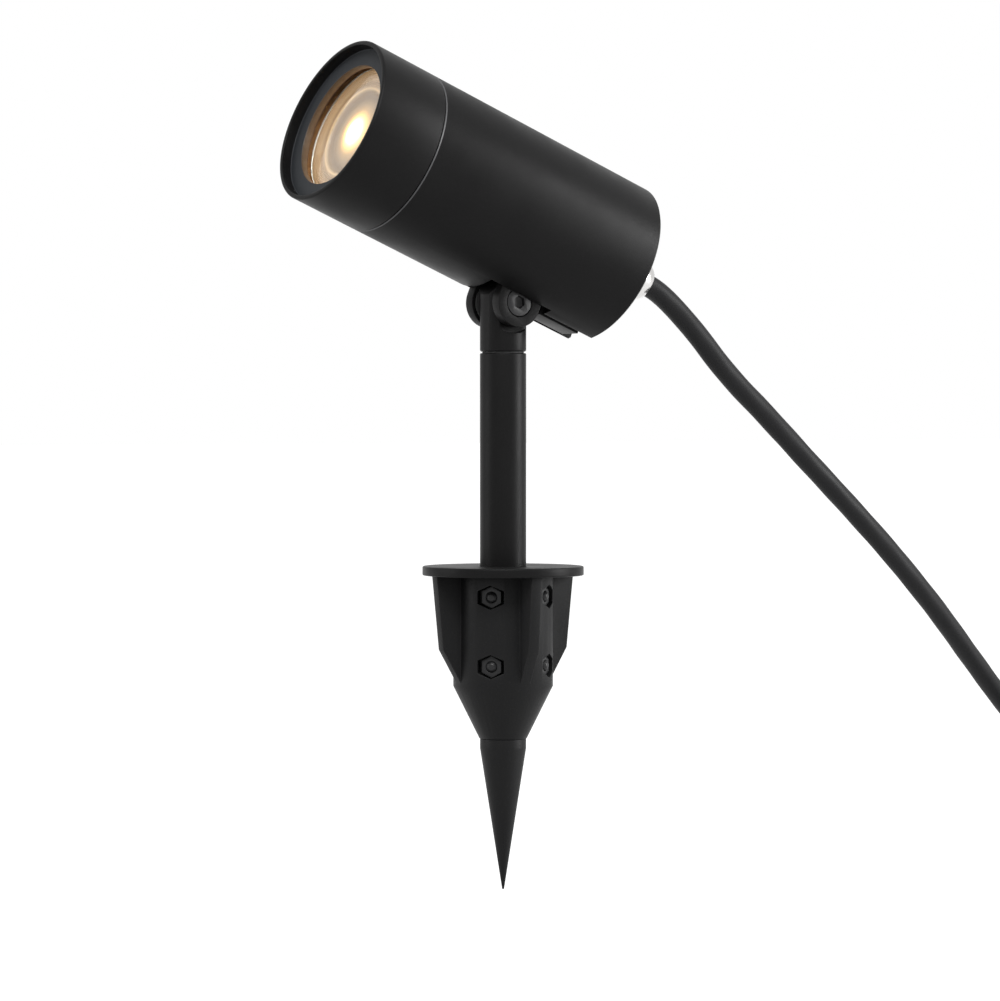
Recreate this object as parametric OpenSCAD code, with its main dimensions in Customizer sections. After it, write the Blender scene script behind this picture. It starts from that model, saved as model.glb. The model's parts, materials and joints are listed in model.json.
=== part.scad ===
// Landscape spotlight: a round lamp head on a tilting clevis, a stem, a ground flange and a spike.
// Millimetres, +Z up. The origin is the centre of the ground flange's underside, at ground level.
// The head points towards -Y and tilts about X. It turns on the stem about Z.

/* [Head] */
// Outer diameter of the housing and the bezel
head_d = 60; // [58:0.5:64]
// Front face ahead of the tilt pivot, along the head's axis
head_front = 88.5; // [86:0.5:110]
// Rear face behind the tilt pivot
head_rear = 35.3; // [33:0.1:60]
// Height of the level head's underside above the tilt pivot
head_lift = 0.2; // [0:0.1:1]
// Upward tilt of the head at rest, in degrees
rest_tilt = 22.8; // [0:0.1:50]
// Bevel round the housing's and the bezel's ends
head_edge = 0.8; // [0.2:0.1:1.2]
// Wall at the rear of the housing
rear_wall = 4; // [2:0.1:6]
// Wall of the housing round the lamp
housing_wall = 3.8; // [3:0.1:4.2]
// Wall between the rear chamber and the clevis pocket
chamber_wall = 3.55; // [3.2:0.05:4.5]

/* [Bezel] */
// Length of the bezel
bezel_len = 27; // [25:0.5:34]
// Open seam between the bezel and the housing
seam_gap = 0.4; // [0.3:0.05:0.8]
// Length of the housing's threaded spigot inside the bezel
spigot_len = 9; // [6:0.5:9.5]
// Wall of the bezel round the spigot
skirt_wall = 2; // [1.6:0.1:2.2]
// Wall of the bezel round the front recess
lip_wall = 1.65; // [1:0.05:2.5]
// Depth of the front recess
recess_depth = 4; // [2:0.1:5]
// Thickness of the inner ring round the light opening
ring_t = 2.4; // [1.6:0.1:3]
// Width of the inner ring's face
ring_w = 6.05; // [5:0.05:8]
// Wall of the bezel round the glass and its keeper
glass_wall = 2.8; // [2.6:0.05:3]
// Thickness of the front glass
glass_t = 4; // [3:0.1:4.5]
// Thickness of the glass gasket
gasket_t = 0.8; // [0.5:0.1:1.2]
// Width of the gasket's face
gasket_w = 3.7; // [2:0.1:4]
// Thickness of the threaded ring that keeps the glass in
keeper_t = 4; // [2:0.1:4.4]
// Wall of that ring
keeper_wall = 1.75; // [1:0.05:1.8]
// Thickness of the seal ring's cord on the spigot
seal_d = 0.94; // [0.8:0.02:1]

/* [Lamp] */
// Gap between the reflector lamp and its bore
lamp_gap = 1.2; // [1:0.1:2]
// Length of the lamp without its pins
lamp_len = 54; // [50:0.5:55]
// Diameter of the lamp's base
lamp_base_d = 19; // [17:0.5:21]
// Distance between the lamp's pins
pin_pitch = 10; // [9:0.5:11]
// Length of the lamp's pins
lamp_pin_len = 7; // [6:0.5:8]
// Thickness of the lamp's front lens
lamp_lens_t = 2.2; // [1.5:0.1:3]
// Wall of the lamp's shell
lamp_wall = 1.4; // [1:0.1:2]
// Gap between the lampholder and the chamber's floor
holder_gap = 1.1; // [1:0.1:2]

/* [Clevis] */
// Distance over the outer faces of the clevis ears
clevis_w = 21.9; // [21.5:0.1:24]
// Thickness of each ear
ear_t = 4.3; // [4:0.1:4.6]
// Radius of the ears round the pivot
ear_r = 8.7; // [8:0.1:9]
// Diameter of the pivot screw
pivot_d = 6; // [5:0.5:6]
// Diameter of the pivot screw's head
pivot_head_d = 9.8; // [9:0.1:10]
// Width of the foot bar under the housing
bar_w = 10; // [9:0.5:12]
// Depth of the foot bar
bar_t = 4.9; // [4:0.1:5.2]
// Rear end of the foot bar ahead of the housing's rear face
bar_inset = 5.2; // [3:0.1:8]
// Gap between the foot bar and the channel's sides
channel_gap = 2.5; // [0.5:0.05:4]
// Width of the clevis plate outside each ear
plate_lip = 0.2; // [0:0.05:3]

/* [Stem] */
// Outer diameter of the stem and the knuckle
stem_d = 16.3; // [16:0.1:16.6]
// Wall of the stem tube
stem_wall = 1.75; // [1.2:0.05:2]
// Height of the swivel seam above the ground
seam_h = 78.8; // [60:0.2:200]
// Height of the tilt pivot above the swivel seam
knuckle_h = 17.2; // [15:0.2:24]
// Thickness of the knuckle's tongue between the ears
tongue_t = 12.2; // [11:0.1:12.2]
// Radius of the flat spot faces on the tongue
spot_r = 10.8; // [10:0.1:12]
// Thickness of each friction washer at the pivot
washer_t = 0.5; // [0.3:0.05:0.6]
// Thickness of the swivel washer
swivel_washer_t = 0.5; // [0.3:0.05:1]
// Diameter of the knuckle's stud
stud_d = 10; // [8:0.5:10]

/* [Ground spike] */
// Diameter of the ground flange
flange_d = 56.9; // [55:0.5:90]
// Thickness of the ground flange
flange_t = 3.25; // [2:0.25:5]
// Diameter of the spike's collar
collar_d = 35.2; // [34:0.2:38]
// Length of the collar's straight part
collar_len = 39; // [38:0.5:60]
// Length of the collar's cone
cone_len = 18.5; // [12:0.5:30]
// Diameter at the lower end of the cone
cone_end_d = 16.8; // [16.6:0.1:18]
// Radius of the fins at the flange
fin_top_r = 26.75; // [22:0.25:27]
// Radius of the fins at their corner
fin_low_r = 24.2; // [20:0.2:26]
// Depth of the fins' corner below the flange
fin_corner = 25.8; // [20:0.2:30]
// Thickness of the fins
fin_t = 3.9; // [2.5:0.1:5]
// Turn of the spike against the head at rest, in degrees
spike_turn = -6; // [-45:1:45]
// Angle of the nut columns from the side fins, in degrees
nut_angle = 41; // [38:1:45]
// Depth of the upper nuts below the flange
nut_upper = 7.2; // [6:0.2:10]
// Depth of the lower nuts below the flange
nut_lower = 31.5; // [25:0.2:32]
// Width of the pockets round the collar's nuts
nut_pocket_w = 9.6; // [9:0.1:10]
// Height of those pockets from corner to corner
nut_pocket_h = 8.5; // [8.3:0.1:9.2]
// Diameter of the spike where it leaves the cone
spike_d = 16.3; // [12:0.1:16.4]
// Length of the spike's straight part
spike_straight = 3.5; // [0:0.5:10]
// Length of the spike's point
point_len = 49.9; // [30:0.5:160]

/* [Cord and gland] */
// Diameter of the supply cord
cord_d = 8; // [7:0.1:8.2]
// Diameter of the gland's thread
gland_thread_d = 12; // [11.5:0.1:12]
// Diameter of the gland's domed nut
gland_d = 15.8; // [15.2:0.1:18]
// Width across the flats of the gland's body
gland_flats = 14; // [13.5:0.1:15]
// Reach of the gland behind the housing
gland_len = 17.3; // [16:0.1:24]
// Diameter of the plug at its face
plug_d = 37; // [34:0.5:39]
// Length of the plug's body with its grip
plug_len = 42; // [38:0.5:48]
// Length of the plug's tapered boot
boot_len = 30; // [20:0.5:40]
// Distance between the plug's pins
plug_pitch = 19; // [18:0.5:20]
// Diameter of the plug's pins
plug_pin_d = 4.8; // [4:0.1:5]
// Length of the plug's pins
plug_pin_len = 19; // [17:0.5:20]

/* [Hidden] */
$fn = 96;

// Overrun of every cut past the face that it leaves
over = 1;
// Running clearance, and the hair gap between clamped pieces of different bodies
run = 0.1;
hair = 0.05;
// Clearance between a loose cover or nut and its pocket
loose = 0.3;

// Stations along the head's axis, ahead of the pivot
head_r = head_d / 2;
axis_rise = head_r + head_lift;
lamp_bore_d = head_d - 2 * housing_wall;
glass_bore_d = head_d - 2 * glass_wall;
aperture_d = head_d - 2 * (lip_wall + ring_w);
lamp_d = lamp_bore_d - 2 * lamp_gap;
seam_z = head_front - bezel_len;
spigot_r = head_r - skirt_wall - run;
skirt_r = head_r - skirt_wall;
ring_front = head_front - recess_depth;
ring_rear = ring_front - ring_t;
gasket_rear = ring_rear - hair - gasket_t;
glass_rear = gasket_rear - glass_t;
keeper_front = glass_rear - hair;
keeper_r = glass_bore_d / 2 - hair;
bore_r = lamp_bore_d / 2;
lens_gap = 0.8;
lamp_front = glass_rear - lens_gap;
lamp_back = lamp_front - lamp_len;

// Clevis, in the head's frame: depths below the head's axis
tongue_r = stem_d / 2;
tongue_gap = 0.9;
pivot_washer_r = 7.4;
plate_t = 3;
plate_bottom = axis_rise - tongue_r - tongue_gap;
plate_top = plate_bottom - plate_t;
plate_w = clevis_w + 2 * plate_lip;
pocket_w = plate_w + 2 * loose;
channel_w = bar_w + 2 * channel_gap;
chamber_floor = plate_top - chamber_wall;
holder_d = 2 * (chamber_floor - holder_gap);
plate_front = 13.7;
plate_rear = 12.5;
bar_lift = 1;
bar_bottom = axis_rise - bar_lift;
bar_top = bar_bottom - bar_t;
web_t = 4;
web_gap = 0.3;
ear_in = clevis_w / 2 - ear_t;
sink_depth = 3.1;
sink_r = pivot_head_d / 2 + web_gap;
pivot_nut_flats = 10;
clevis_screw_d = 3;
clevis_screw_head_d = 5.5;
clevis_screw_head_t = 2.2;
clevis_screw_bite = 3.9;
clevis_screw_shares = [0.24, 0.73];
socket_share = 0.42;
socket_depth_share = 0.6;

// Inside the housing
plate_z = 4;
bracket_t = 1.5;
bracket_gap = 4.6;
bracket_w = 2 * (chamber_floor - bracket_gap);
boss_r = 4.4;
boss_bite = 0.8;
boss_x = lamp_bore_d / 2 - boss_r + boss_bite;
boss_len = 18;
small_screw_d = 3;
small_head_d = 5.5;
small_head_t = 2;
bore_floor = plate_front + loose + plate_t;
holder_back = plate_z + bracket_t;
holder_front = lamp_back - run;
block_w = 19;
block_h = 9;
block_len = 14;
wire_d = 1.5;
wire_gap = 1.7;
wire_pitch = 5.5;
sheath_end = 20;
earth_z = 3;
earth_len = 2.6;
wire_bend = 1.5;
wire_share = 1 / 3;
wire_sides = 8;

// Gland, behind the rear face
hex_t = 4;
thread_out = 7;
thread_in = 8;
locknut_t = 2.8;
dome_gap = 0.1;
cord_hole_r = cord_d / 2 + run;
dome_start_share = 0.45;
lip_w = 0.8;
seal_t = 3.5;

// Stem
stem_r = stem_d / 2;
tube_bore_r = stem_r - stem_wall;
pivot_h = seam_h + knuckle_h;
seam_bevel = 0.4;
bush_len = 14;
stud_len = 22;
nut_t = 5;
tube_low = 37;
shank_r = tube_bore_r - run;
shank_up = 7;

// Collar nuts
fin_foot = 0.6;
nut_flats = 7;
corner_share = 0.26;
nut_t4 = 3.2;
nut_in = 12.9;
nut_screw_d = 4;
nut_screw_out = 0.9;
point_flat_r = 0.35;
flange_edge = 0.4;

// Level of the surface that the spike's point and the cord lie on
floor_z = -(collar_len + cone_len + spike_straight + point_len);

// Free stretch of the cord behind the gland, as [x, y, z], one ring at each point
cord_route = [[0, 70, 97.4], [0, 80, 88.5], [0, 96, 71.8], [0, 112, 57.7], [0, 128, 43.4], [0, 142, 31],
              [0, 156, 18.5], [-0.6, 170, 6], [-2.4, 184, -6.5], [-5.2, 198, -19], [-9.2, 212, -31.5],
              [-13.8, 226, -43.5], [-18.6, 240, -55], [-22.6, 254, -65.5], [-26.1, 267, -73.2],
              [-28, 277, -77.2]];
// Straight stretch out of the gland, as a share of the cord's diameter
exit_share = 0.25;
cord_sides = 8;

// Hank: long turns in four layers from the top down, wound inwards and outwards by turns
fold_r = 24.6;
hank_x = 5;
hank_y = 313;
hank_run = 28;
hank_layers = 4;
climb_share = 1 / 3;
fold_steps = 9;
hank_sides = 6;
hank_gap = 0.95;
hank_lift = 1;
hank_pitch = cord_d + hank_gap;
hank_low = floor_z + hank_lift + cord_d / 2;
tie_w = 14;
tie_t = 0.9;
tie_gap = 0.35;

// Tail between the hank and the plug: shares of its length, and of its rise and sideways shift
tail_shares = [[0, 0], [0.22, 0.027], [0.42, 0.29], [0.62, 0.7], [0.82, 0.97], [1, 1]];

// Plug, lying behind the hank
boot_y = 399;
plug_x = -12;
plug_lift = 0.5;
plug_h = floor_z + plug_lift + plug_d / 2;
boot_end_wall = 1.6;
boot_share = 0.22;
neck_share = 0.32;
shoulder_len_share = 0.4;
plug_edge = 1;
pin_tip = 0.6;
clip_w = 4;
clip_t = 1;
clip_len = 18;
clip_sink = 2.6;

// Corner circle of a hexagon with the given width across its flats
function hex_r(flats) = flats / sqrt(3);

// Puts a shape that is drawn along the head's axis into place: z runs forward from the pivot, y is up
module in_head() {
    translate([0, 0, pivot_h]) rotate([-rest_tilt, 0, 0]) translate([0, 0, axis_rise])
        rotate([90, 0, 0]) children();
}

// A ring about the head's axis between two stations
module ring(outer, inner, from, to) {
    translate([0, 0, from]) difference() {
        cylinder(r = outer, h = to - from);
        translate([0, 0, -over]) cylinder(r = inner, h = to - from + 2 * over);
    }
}

// A screw along -z with a round head above z = 0 and a hexagon socket
module socket_screw(d, len, head_d, head_t) {
    difference() {
        union() {
            translate([0, 0, -len]) cylinder(d = d, h = len);
            cylinder(d = head_d, h = head_t);
        }
        translate([0, 0, head_t * (1 - socket_depth_share)])
            cylinder(r = hex_r(head_d * socket_share), h = head_t, $fn = 6);
    }
}

module lamp_housing() color([0.05, 0.05, 0.055]) in_head() difference() {
    union() {
        difference() {
            rotate_extrude() polygon([
                [0, -head_rear], [head_r - head_edge, -head_rear], [head_r, head_edge - head_rear],
                [head_r, seam_z - seam_bevel], [head_r - seam_bevel, seam_z], [spigot_r, seam_z],
                [spigot_r, seam_z + spigot_len], [0, seam_z + spigot_len]]);
            translate([0, 0, bore_floor]) cylinder(r = bore_r, h = seam_z + spigot_len);
            intersection() {
                translate([0, 0, rear_wall - head_rear]) cylinder(r = bore_r, h = head_rear + bore_floor);
                translate([-head_d, -chamber_floor, -head_rear]) cube([2 * head_d, head_d, 2 * head_d]);
            }
        }
        for (side = [-1, 1]) intersection() {
            translate([side * boss_x, 0, plate_z - boss_len]) cylinder(r = boss_r, h = boss_len);
            translate([0, 0, -head_rear]) cylinder(r = head_r - head_edge, h = head_d);
        }
    }
    for (side = [-1, 1])
        translate([side * boss_x, 0, plate_z - boss_len / 2]) cylinder(d = small_screw_d, h = boss_len);
    translate([-pocket_w / 2, -head_d, -plate_rear - loose])
        cube([pocket_w, head_d - plate_top, plate_rear + plate_front + 2 * loose]);
    translate([-channel_w / 2, -head_d, -head_rear - over])
        cube([channel_w, head_d - bar_top, head_rear + over]);
    translate([-bar_w / 2 - web_gap, -head_d, -plate_rear - web_t - web_gap])
        cube([bar_w + 2 * web_gap, head_d - plate_top, web_t + web_gap]);
    for (z = clevis_screw_z()) translate([0, over - chamber_floor, z]) rotate([90, 0, 0])
        cylinder(d = clevis_screw_d, h = bar_top - chamber_floor + 2 * over);
    translate([0, 0, -head_rear - over]) cylinder(d = gland_thread_d + run, h = rear_wall + 2 * over);
    translate([0, over - chamber_floor, -earth_z]) rotate([90, 0, 0])
        cylinder(d = small_screw_d, h = over + earth_len + run);
    translate([0, 0, seam_z + spigot_len / 2]) rotate_extrude()
        translate([spigot_r + run + hair - seal_d, -seal_d / 2]) square([seal_d + over, seal_d]);
}

// Stations of the two screws along the foot bar
function clevis_screw_z() = [for (share = clevis_screw_shares)
    -plate_rear - web_t - share * (head_rear - bar_inset - plate_rear - web_t)];

module front_bezel() color([0.05, 0.05, 0.055]) in_head() rotate_extrude() polygon([
    [skirt_r, seam_z + seam_gap], [head_r - seam_bevel, seam_z + seam_gap],
    [head_r, seam_z + seam_gap + seam_bevel], [head_r, head_front - head_edge],
    [head_r - head_edge / 2, head_front], [head_r - lip_wall, head_front],
    [head_r - lip_wall, ring_front], [aperture_d / 2, ring_front], [aperture_d / 2, ring_rear],
    [glass_bore_d / 2, ring_rear], [glass_bore_d / 2, seam_z + spigot_len + loose],
    [skirt_r, seam_z + spigot_len + loose]]);

module glass_keeper() color([0.1, 0.1, 0.1]) in_head()
    ring(keeper_r, keeper_r - keeper_wall, keeper_front - keeper_t, keeper_front);

module front_glass() color([0.85, 0.92, 0.95, 0.4]) in_head()
    translate([0, 0, glass_rear]) cylinder(r = glass_bore_d / 2 - loose, h = glass_t);

module glass_gasket() color([0.12, 0.12, 0.12]) in_head()
    ring(glass_bore_d / 2 - loose, glass_bore_d / 2 - loose - gasket_w, gasket_rear,
        gasket_rear + gasket_t);

module housing_seal() color([0.1, 0.1, 0.1]) in_head() translate([0, 0, seam_z + spigot_len / 2])
    rotate_extrude() translate([spigot_r + run - seal_d / 2, 0]) circle(d = seal_d - 2 * hair, $fn = 24);

// Lamp
lamp_r = lamp_d / 2;
rim_len = 5.5;
lens_r = lamp_r - lamp_wall;
shell_waist = 15;
shell_neck = 9;
shell_neck_len = 9.5;
shoulder_share = 0.96;
waist_share = 0.62;
led_share = 0.56;
led_board_t = 1.6;
led_dome_r = 5;
cup_len = 10;
cup_low_r = 7;
driver_w = 13;
driver_t = 1.6;
driver_len = 18;
lamp_pin_d = 3.2;
lamp_pin_head_d = 5;
lamp_pin_head_t = 1.5;

module lamp_body() color([0.9, 0.9, 0.88]) in_head() rotate_extrude() polygon([
    [0, lamp_back], [lamp_base_d / 2, lamp_back], [lamp_base_d / 2, lamp_back + shell_neck_len],
    [lamp_r * waist_share, lamp_back + shell_neck_len + shell_neck],
    [lamp_r * shoulder_share, lamp_front - rim_len - shell_waist / 2], [lamp_r, lamp_front - rim_len],
    [lamp_r, lamp_front], [lens_r, lamp_front], [lens_r, lamp_front - lamp_lens_t],
    [lens_r - lamp_wall / 2, lamp_front - lamp_lens_t],
    [lens_r - lamp_wall / 2, lamp_front - rim_len],
    [lamp_r * shoulder_share - lamp_wall, lamp_front - rim_len - shell_waist / 2],
    [lamp_r * waist_share - lamp_wall, lamp_back + shell_neck_len + shell_neck + lamp_wall],
    [lamp_base_d / 2 - lamp_wall, lamp_back + shell_neck_len + lamp_wall],
    [lamp_base_d / 2 - lamp_wall, lamp_back + lamp_wall], [0, lamp_back + lamp_wall]]);

module lamp_lens() color([0.95, 0.85, 0.65]) in_head()
    translate([0, 0, lamp_front - lamp_lens_t]) cylinder(r = lens_r, h = lamp_lens_t);

// The cup stands on the board and meets the lens's rear face
module lamp_reflector() color([0.92, 0.9, 0.85]) in_head() rotate_extrude() polygon([
    [cup_low_r, led_top()], [cup_low_r + lamp_wall, led_top()],
    [lens_r - lamp_wall, lamp_front - lamp_lens_t], [lens_r - 2 * lamp_wall, lamp_front - lamp_lens_t]]);

function led_top() = lamp_front - lamp_lens_t - cup_len;

module led_module() color([0.9, 0.85, 0.4]) in_head() translate([0, 0, led_top() - led_board_t]) {
    cylinder(r = lamp_r * led_share, h = led_board_t);
    translate([0, 0, led_board_t]) intersection() {
        sphere(r = led_dome_r);
        cylinder(r = led_dome_r, h = led_dome_r);
    }
}

module lamp_driver() color([0.15, 0.4, 0.2]) in_head()
    translate([-driver_w / 2, -driver_t / 2, lamp_back + lamp_wall]) cube([driver_w, driver_t, driver_len]);

module lamp_pins() color([0.75, 0.75, 0.75]) in_head() for (side = [-1, 1])
    translate([side * pin_pitch / 2, 0, 0]) {
    translate([0, 0, lamp_back - lamp_pin_len]) cylinder(d = lamp_pin_d, h = lamp_pin_len);
    translate([0, 0, lamp_back - lamp_pin_len]) cylinder(d = lamp_pin_head_d, h = lamp_pin_head_t);
}

module lampholder() color([0.93, 0.92, 0.88]) in_head() difference() {
    translate([0, 0, holder_back]) cylinder(d = holder_d, h = holder_front - holder_back);
    for (side = [-1, 1]) translate([side * pin_pitch / 2, 0, lamp_back - lamp_pin_len])
        cylinder(d = lamp_pin_head_d + 2 * loose, h = lamp_pin_len + over);
}

module holder_bracket() color([0.75, 0.76, 0.78]) in_head() difference() {
    intersection() {
        translate([0, 0, plate_z]) cylinder(r = bore_r - loose, h = bracket_t);
        translate([-head_d, -bracket_w / 2, 0]) cube([2 * head_d, bracket_w, head_d]);
    }
    for (side = [-1, 1]) translate([side * boss_x, 0, 0]) cylinder(d = small_screw_d + loose, h = head_d);
    cylinder(d = block_h, h = head_d);
}

module holder_screws() color([0.75, 0.76, 0.78]) in_head() for (side = [-1, 1])
    translate([side * boss_x, 0, plate_z + bracket_t])
        socket_screw(small_screw_d - run, boss_len / 2, small_head_d, small_head_t);

module terminal_block() color([0.92, 0.92, 0.9]) in_head() difference() {
    translate([-block_w / 2, -block_h / 2, plate_z - block_len]) cube([block_w, block_h, block_len]);
    for (i = [-1:1]) {
        translate([i * wire_pitch, 0, plate_z - block_len - over]) cylinder(d = wire_d, h = block_len / 2);
        translate([i * wire_pitch, 0, plate_z - block_len * 3 / 4]) rotate([-90, 0, 0])
            cylinder(d = small_screw_d, h = block_h);
    }
}

module terminal_screws() color([0.8, 0.7, 0.4]) in_head() for (i = [-1:1])
    translate([i * wire_pitch, wire_d / 2, plate_z - block_len * 3 / 4]) rotate([-90, 0, 0])
        cylinder(d = small_screw_d, h = block_h / 2 - wire_d / 2);

module earth_screw() color([0.8, 0.7, 0.4]) in_head() translate([0, -chamber_floor, -earth_z])
    rotate([-90, 0, 0]) socket_screw(small_screw_d - run, earth_len, small_head_d, small_head_t);

module inner_wires() in_head() {
    for (i = [-1:1]) color(i < 0 ? "saddlebrown" : i > 0 ? "yellowgreen" : "steelblue")
        tube(wire_path(i), [0, 1, 0], wire_d / 2 - hair, wire_sides);
    for (side = [-1, 1]) color("saddlebrown")
        translate([side * wire_gap, 0, plate_z]) cylinder(d = wire_d, h = bracket_t);
    color("yellowgreen") translate([(small_head_d - wire_d) / 2, -block_h / 2, -earth_z]) rotate([90, 0, 0])
        cylinder(d = wire_d, h = chamber_floor - small_head_t - block_h / 2);
}

// Way of one wire from the sheath's end into its clamp
function wire_path(i) = [
    [i * wire_gap, 0, -sheath_end], [i * wire_gap, 0, wire_bend - sheath_end],
    [i * wire_pitch, 0, plate_z - block_len - wire_bend],
    [i * wire_pitch, 0, plate_z - block_len * (1 - wire_share)]];

module clevis() color([0.06, 0.06, 0.065]) in_head() difference() {
    union() {
        translate([-plate_w / 2, -plate_bottom, -plate_rear])
            cube([plate_w, plate_t, plate_rear + plate_front]);
        for (side = [-1, 1]) translate([side * (ear_in + ear_t / 2), 0, 0]) {
            translate([-ear_t / 2, -axis_rise, 0]) rotate([0, 90, 0]) cylinder(r = ear_r, h = ear_t);
            translate([-ear_t / 2, -axis_rise, -ear_r]) cube([ear_t, axis_rise - plate_bottom, 2 * ear_r]);
        }
        translate([-bar_w / 2, -bar_bottom, -plate_rear - web_t])
            cube([bar_w, bar_bottom - plate_top, web_t]);
        translate([-bar_w / 2, -bar_bottom, bar_inset - head_rear])
            cube([bar_w, bar_t, head_rear - bar_inset - plate_rear]);
    }
    translate([-clevis_w, -axis_rise, 0]) rotate([0, 90, 0]) cylinder(d = pivot_d + run, h = 2 * clevis_w);
    translate([clevis_w / 2 - sink_depth, -axis_rise, 0]) rotate([0, 90, 0])
        cylinder(r = sink_r, h = clevis_w);
    translate([sink_depth - clevis_w / 2, -axis_rise, 0]) rotate([0, -90, 0]) rotate(30)
        cylinder(r = hex_r(pivot_nut_flats + 2 * run), h = clevis_w, $fn = 6);
    for (z = clevis_screw_z()) translate([0, over - bar_top, z]) rotate([90, 0, 0])
        cylinder(d = clevis_screw_d, h = over + clevis_screw_bite + run);
}

// Screws from the rear chamber through its floor into the foot bar
module clevis_screws() color([0.3, 0.3, 0.32]) in_head() for (z = clevis_screw_z())
    translate([0, -chamber_floor, z]) rotate([-90, 0, 0])
        socket_screw(clevis_screw_d - run, bar_top - chamber_floor + clevis_screw_bite,
            clevis_screw_head_d, clevis_screw_head_t);

module pivot_screw() color([0.08, 0.08, 0.085]) in_head()
    translate([clevis_w / 2 - sink_depth, -axis_rise, 0]) rotate([0, 90, 0])
        socket_screw(pivot_d - run, clevis_w - 2 * sink_depth + pivot_nut_t(), pivot_head_d,
            sink_depth - run);

function pivot_nut_t() = sink_depth - run;

module pivot_nut() color([0.08, 0.08, 0.085]) in_head()
    translate([sink_depth - clevis_w / 2, -axis_rise, 0])
    rotate([0, -90, 0]) rotate(30) difference() {
        cylinder(r = hex_r(pivot_nut_flats), h = pivot_nut_t(), $fn = 6);
        translate([0, 0, -over]) cylinder(d = pivot_d, h = sink_depth + 2 * over);
    }

module pivot_washers() color([0.2, 0.2, 0.2]) for (side = [-1, 1])
    translate([side * (tongue_t + washer_t) / 2, 0, pivot_h]) rotate([0, 90, 0]) difference() {
        cylinder(r = pivot_washer_r, h = washer_t, center = true);
        cylinder(d = pivot_d + run, h = washer_t + 2 * over, center = true);
    }

module knuckle() color([0.06, 0.06, 0.065]) difference() {
    union() {
        intersection() {
            rotate_extrude() polygon([
                [0, seam_h], [stem_r - seam_bevel, seam_h], [stem_r, seam_h + seam_bevel],
                [stem_r, pivot_h + stem_r], [0, pivot_h + stem_r]]);
            union() {
                translate([-stem_d, 0, pivot_h]) rotate([0, 90, 0]) cylinder(r = tongue_r, h = 2 * stem_d);
                translate([-stem_d, -stem_d, seam_h]) cube([2 * stem_d, 2 * stem_d, knuckle_h]);
            }
        }
        translate([0, 0, seam_h - stud_len]) cylinder(d = stud_d, h = stud_len + over);
    }
    for (side = [-1, 1]) {
        translate([side * (tongue_t / 2 + stem_d / 2), 0, pivot_h]) rotate([0, 90, 0])
            cylinder(r = spot_r, h = stem_d, center = true);
        translate([side * (tongue_t / 2 + stem_d / 2) - stem_d / 2, -stem_d, pivot_h])
            cube([stem_d, 2 * stem_d, stem_d]);
    }
    translate([-stem_d, 0, pivot_h]) rotate([0, 90, 0]) cylinder(d = pivot_d + run, h = 2 * stem_d);
}

module swivel_washer() color([0.15, 0.15, 0.15]) translate([0, 0, seam_h - swivel_washer_t]) difference() {
    cylinder(r = stem_r - 2 * seam_bevel, h = swivel_washer_t);
    translate([0, 0, -over]) cylinder(d = stud_d + 2 * run, h = swivel_washer_t + 2 * over);
}

// Round nut on the stud below the bush
module swivel_nut() color([0.6, 0.6, 0.62]) translate([0, 0, tube_top() - bush_len - hair - nut_t])
    difference() {
    cylinder(r = tube_bore_r - loose, h = nut_t);
    translate([0, 0, -over]) cylinder(d = stud_d, h = stud_len);
}

module stem_tube() color([0.05, 0.05, 0.055]) rotate_extrude() polygon([
    [tube_bore_r, -tube_low], [stem_r, -tube_low], [stem_r, tube_top() - seam_bevel],
    [stem_r - seam_bevel, tube_top()], [tube_bore_r, tube_top()]]);

function tube_top() = seam_h - swivel_washer_t - hair;

module stem_bush() color([0.7, 0.65, 0.4]) translate([0, 0, tube_top() - bush_len]) difference() {
    cylinder(r = tube_bore_r, h = bush_len);
    translate([0, 0, -over]) cylinder(d = stud_d + run, h = bush_len + 2 * over);
}

module flange_disc() color([0.05, 0.05, 0.055]) rotate_extrude() polygon([
    [stem_r, 0], [flange_d / 2 - flange_edge, 0], [flange_d / 2, flange_edge],
    [flange_d / 2, flange_t - flange_edge], [flange_d / 2 - flange_edge, flange_t], [stem_r, flange_t]]);

// Directions of the four nut columns, measured from the side fins
function nut_turns() = [nut_angle, -nut_angle, 180 + nut_angle, 180 - nut_angle];

module at_nuts() {
    for (turn = nut_turns(), depth = [nut_upper, nut_lower])
        rotate(spike_turn + turn) translate([0, 0, -depth]) rotate([0, 90, 0]) children();
}

module spike_collar() color([0.07, 0.07, 0.07]) difference() {
    union() {
        rotate_extrude() polygon([[stem_r + hair, 0], [collar_d / 2, 0], [collar_d / 2, -collar_len],
            [cone_end_d / 2, -collar_len - cone_len], [shank_r + hair, -collar_len - cone_len],
            [shank_r + hair, -tube_low - hair], [stem_r + hair, -tube_low - hair]]);
        for (turn = [0:90:270]) rotate([90, 0, turn + spike_turn]) translate([0, 0, -fin_t / 2])
            linear_extrude(fin_t) polygon([
                [stem_r + stem_wall, 0], [fin_top_r, 0], [fin_low_r, -fin_corner],
                [collar_d / 2 - fin_foot, fin_foot - collar_len],
                [stem_r + stem_wall, fin_foot - collar_len]]);
    }
    at_nuts() {
        cylinder(d = nut_screw_d + run, h = nut_in + over);
        translate([0, 0, nut_in]) linear_extrude(collar_d) nut_pocket();
    }
}

// Six-sided outline, wider than a regular one, with a corner up and a corner down
module nut_pocket() polygon([
    [nut_pocket_h / 2, 0], [nut_pocket_h * corner_share, nut_pocket_w / 2],
    [-nut_pocket_h * corner_share, nut_pocket_w / 2],
    [-nut_pocket_h / 2, 0], [-nut_pocket_h * corner_share, -nut_pocket_w / 2],
    [nut_pocket_h * corner_share, -nut_pocket_w / 2]]);

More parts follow.
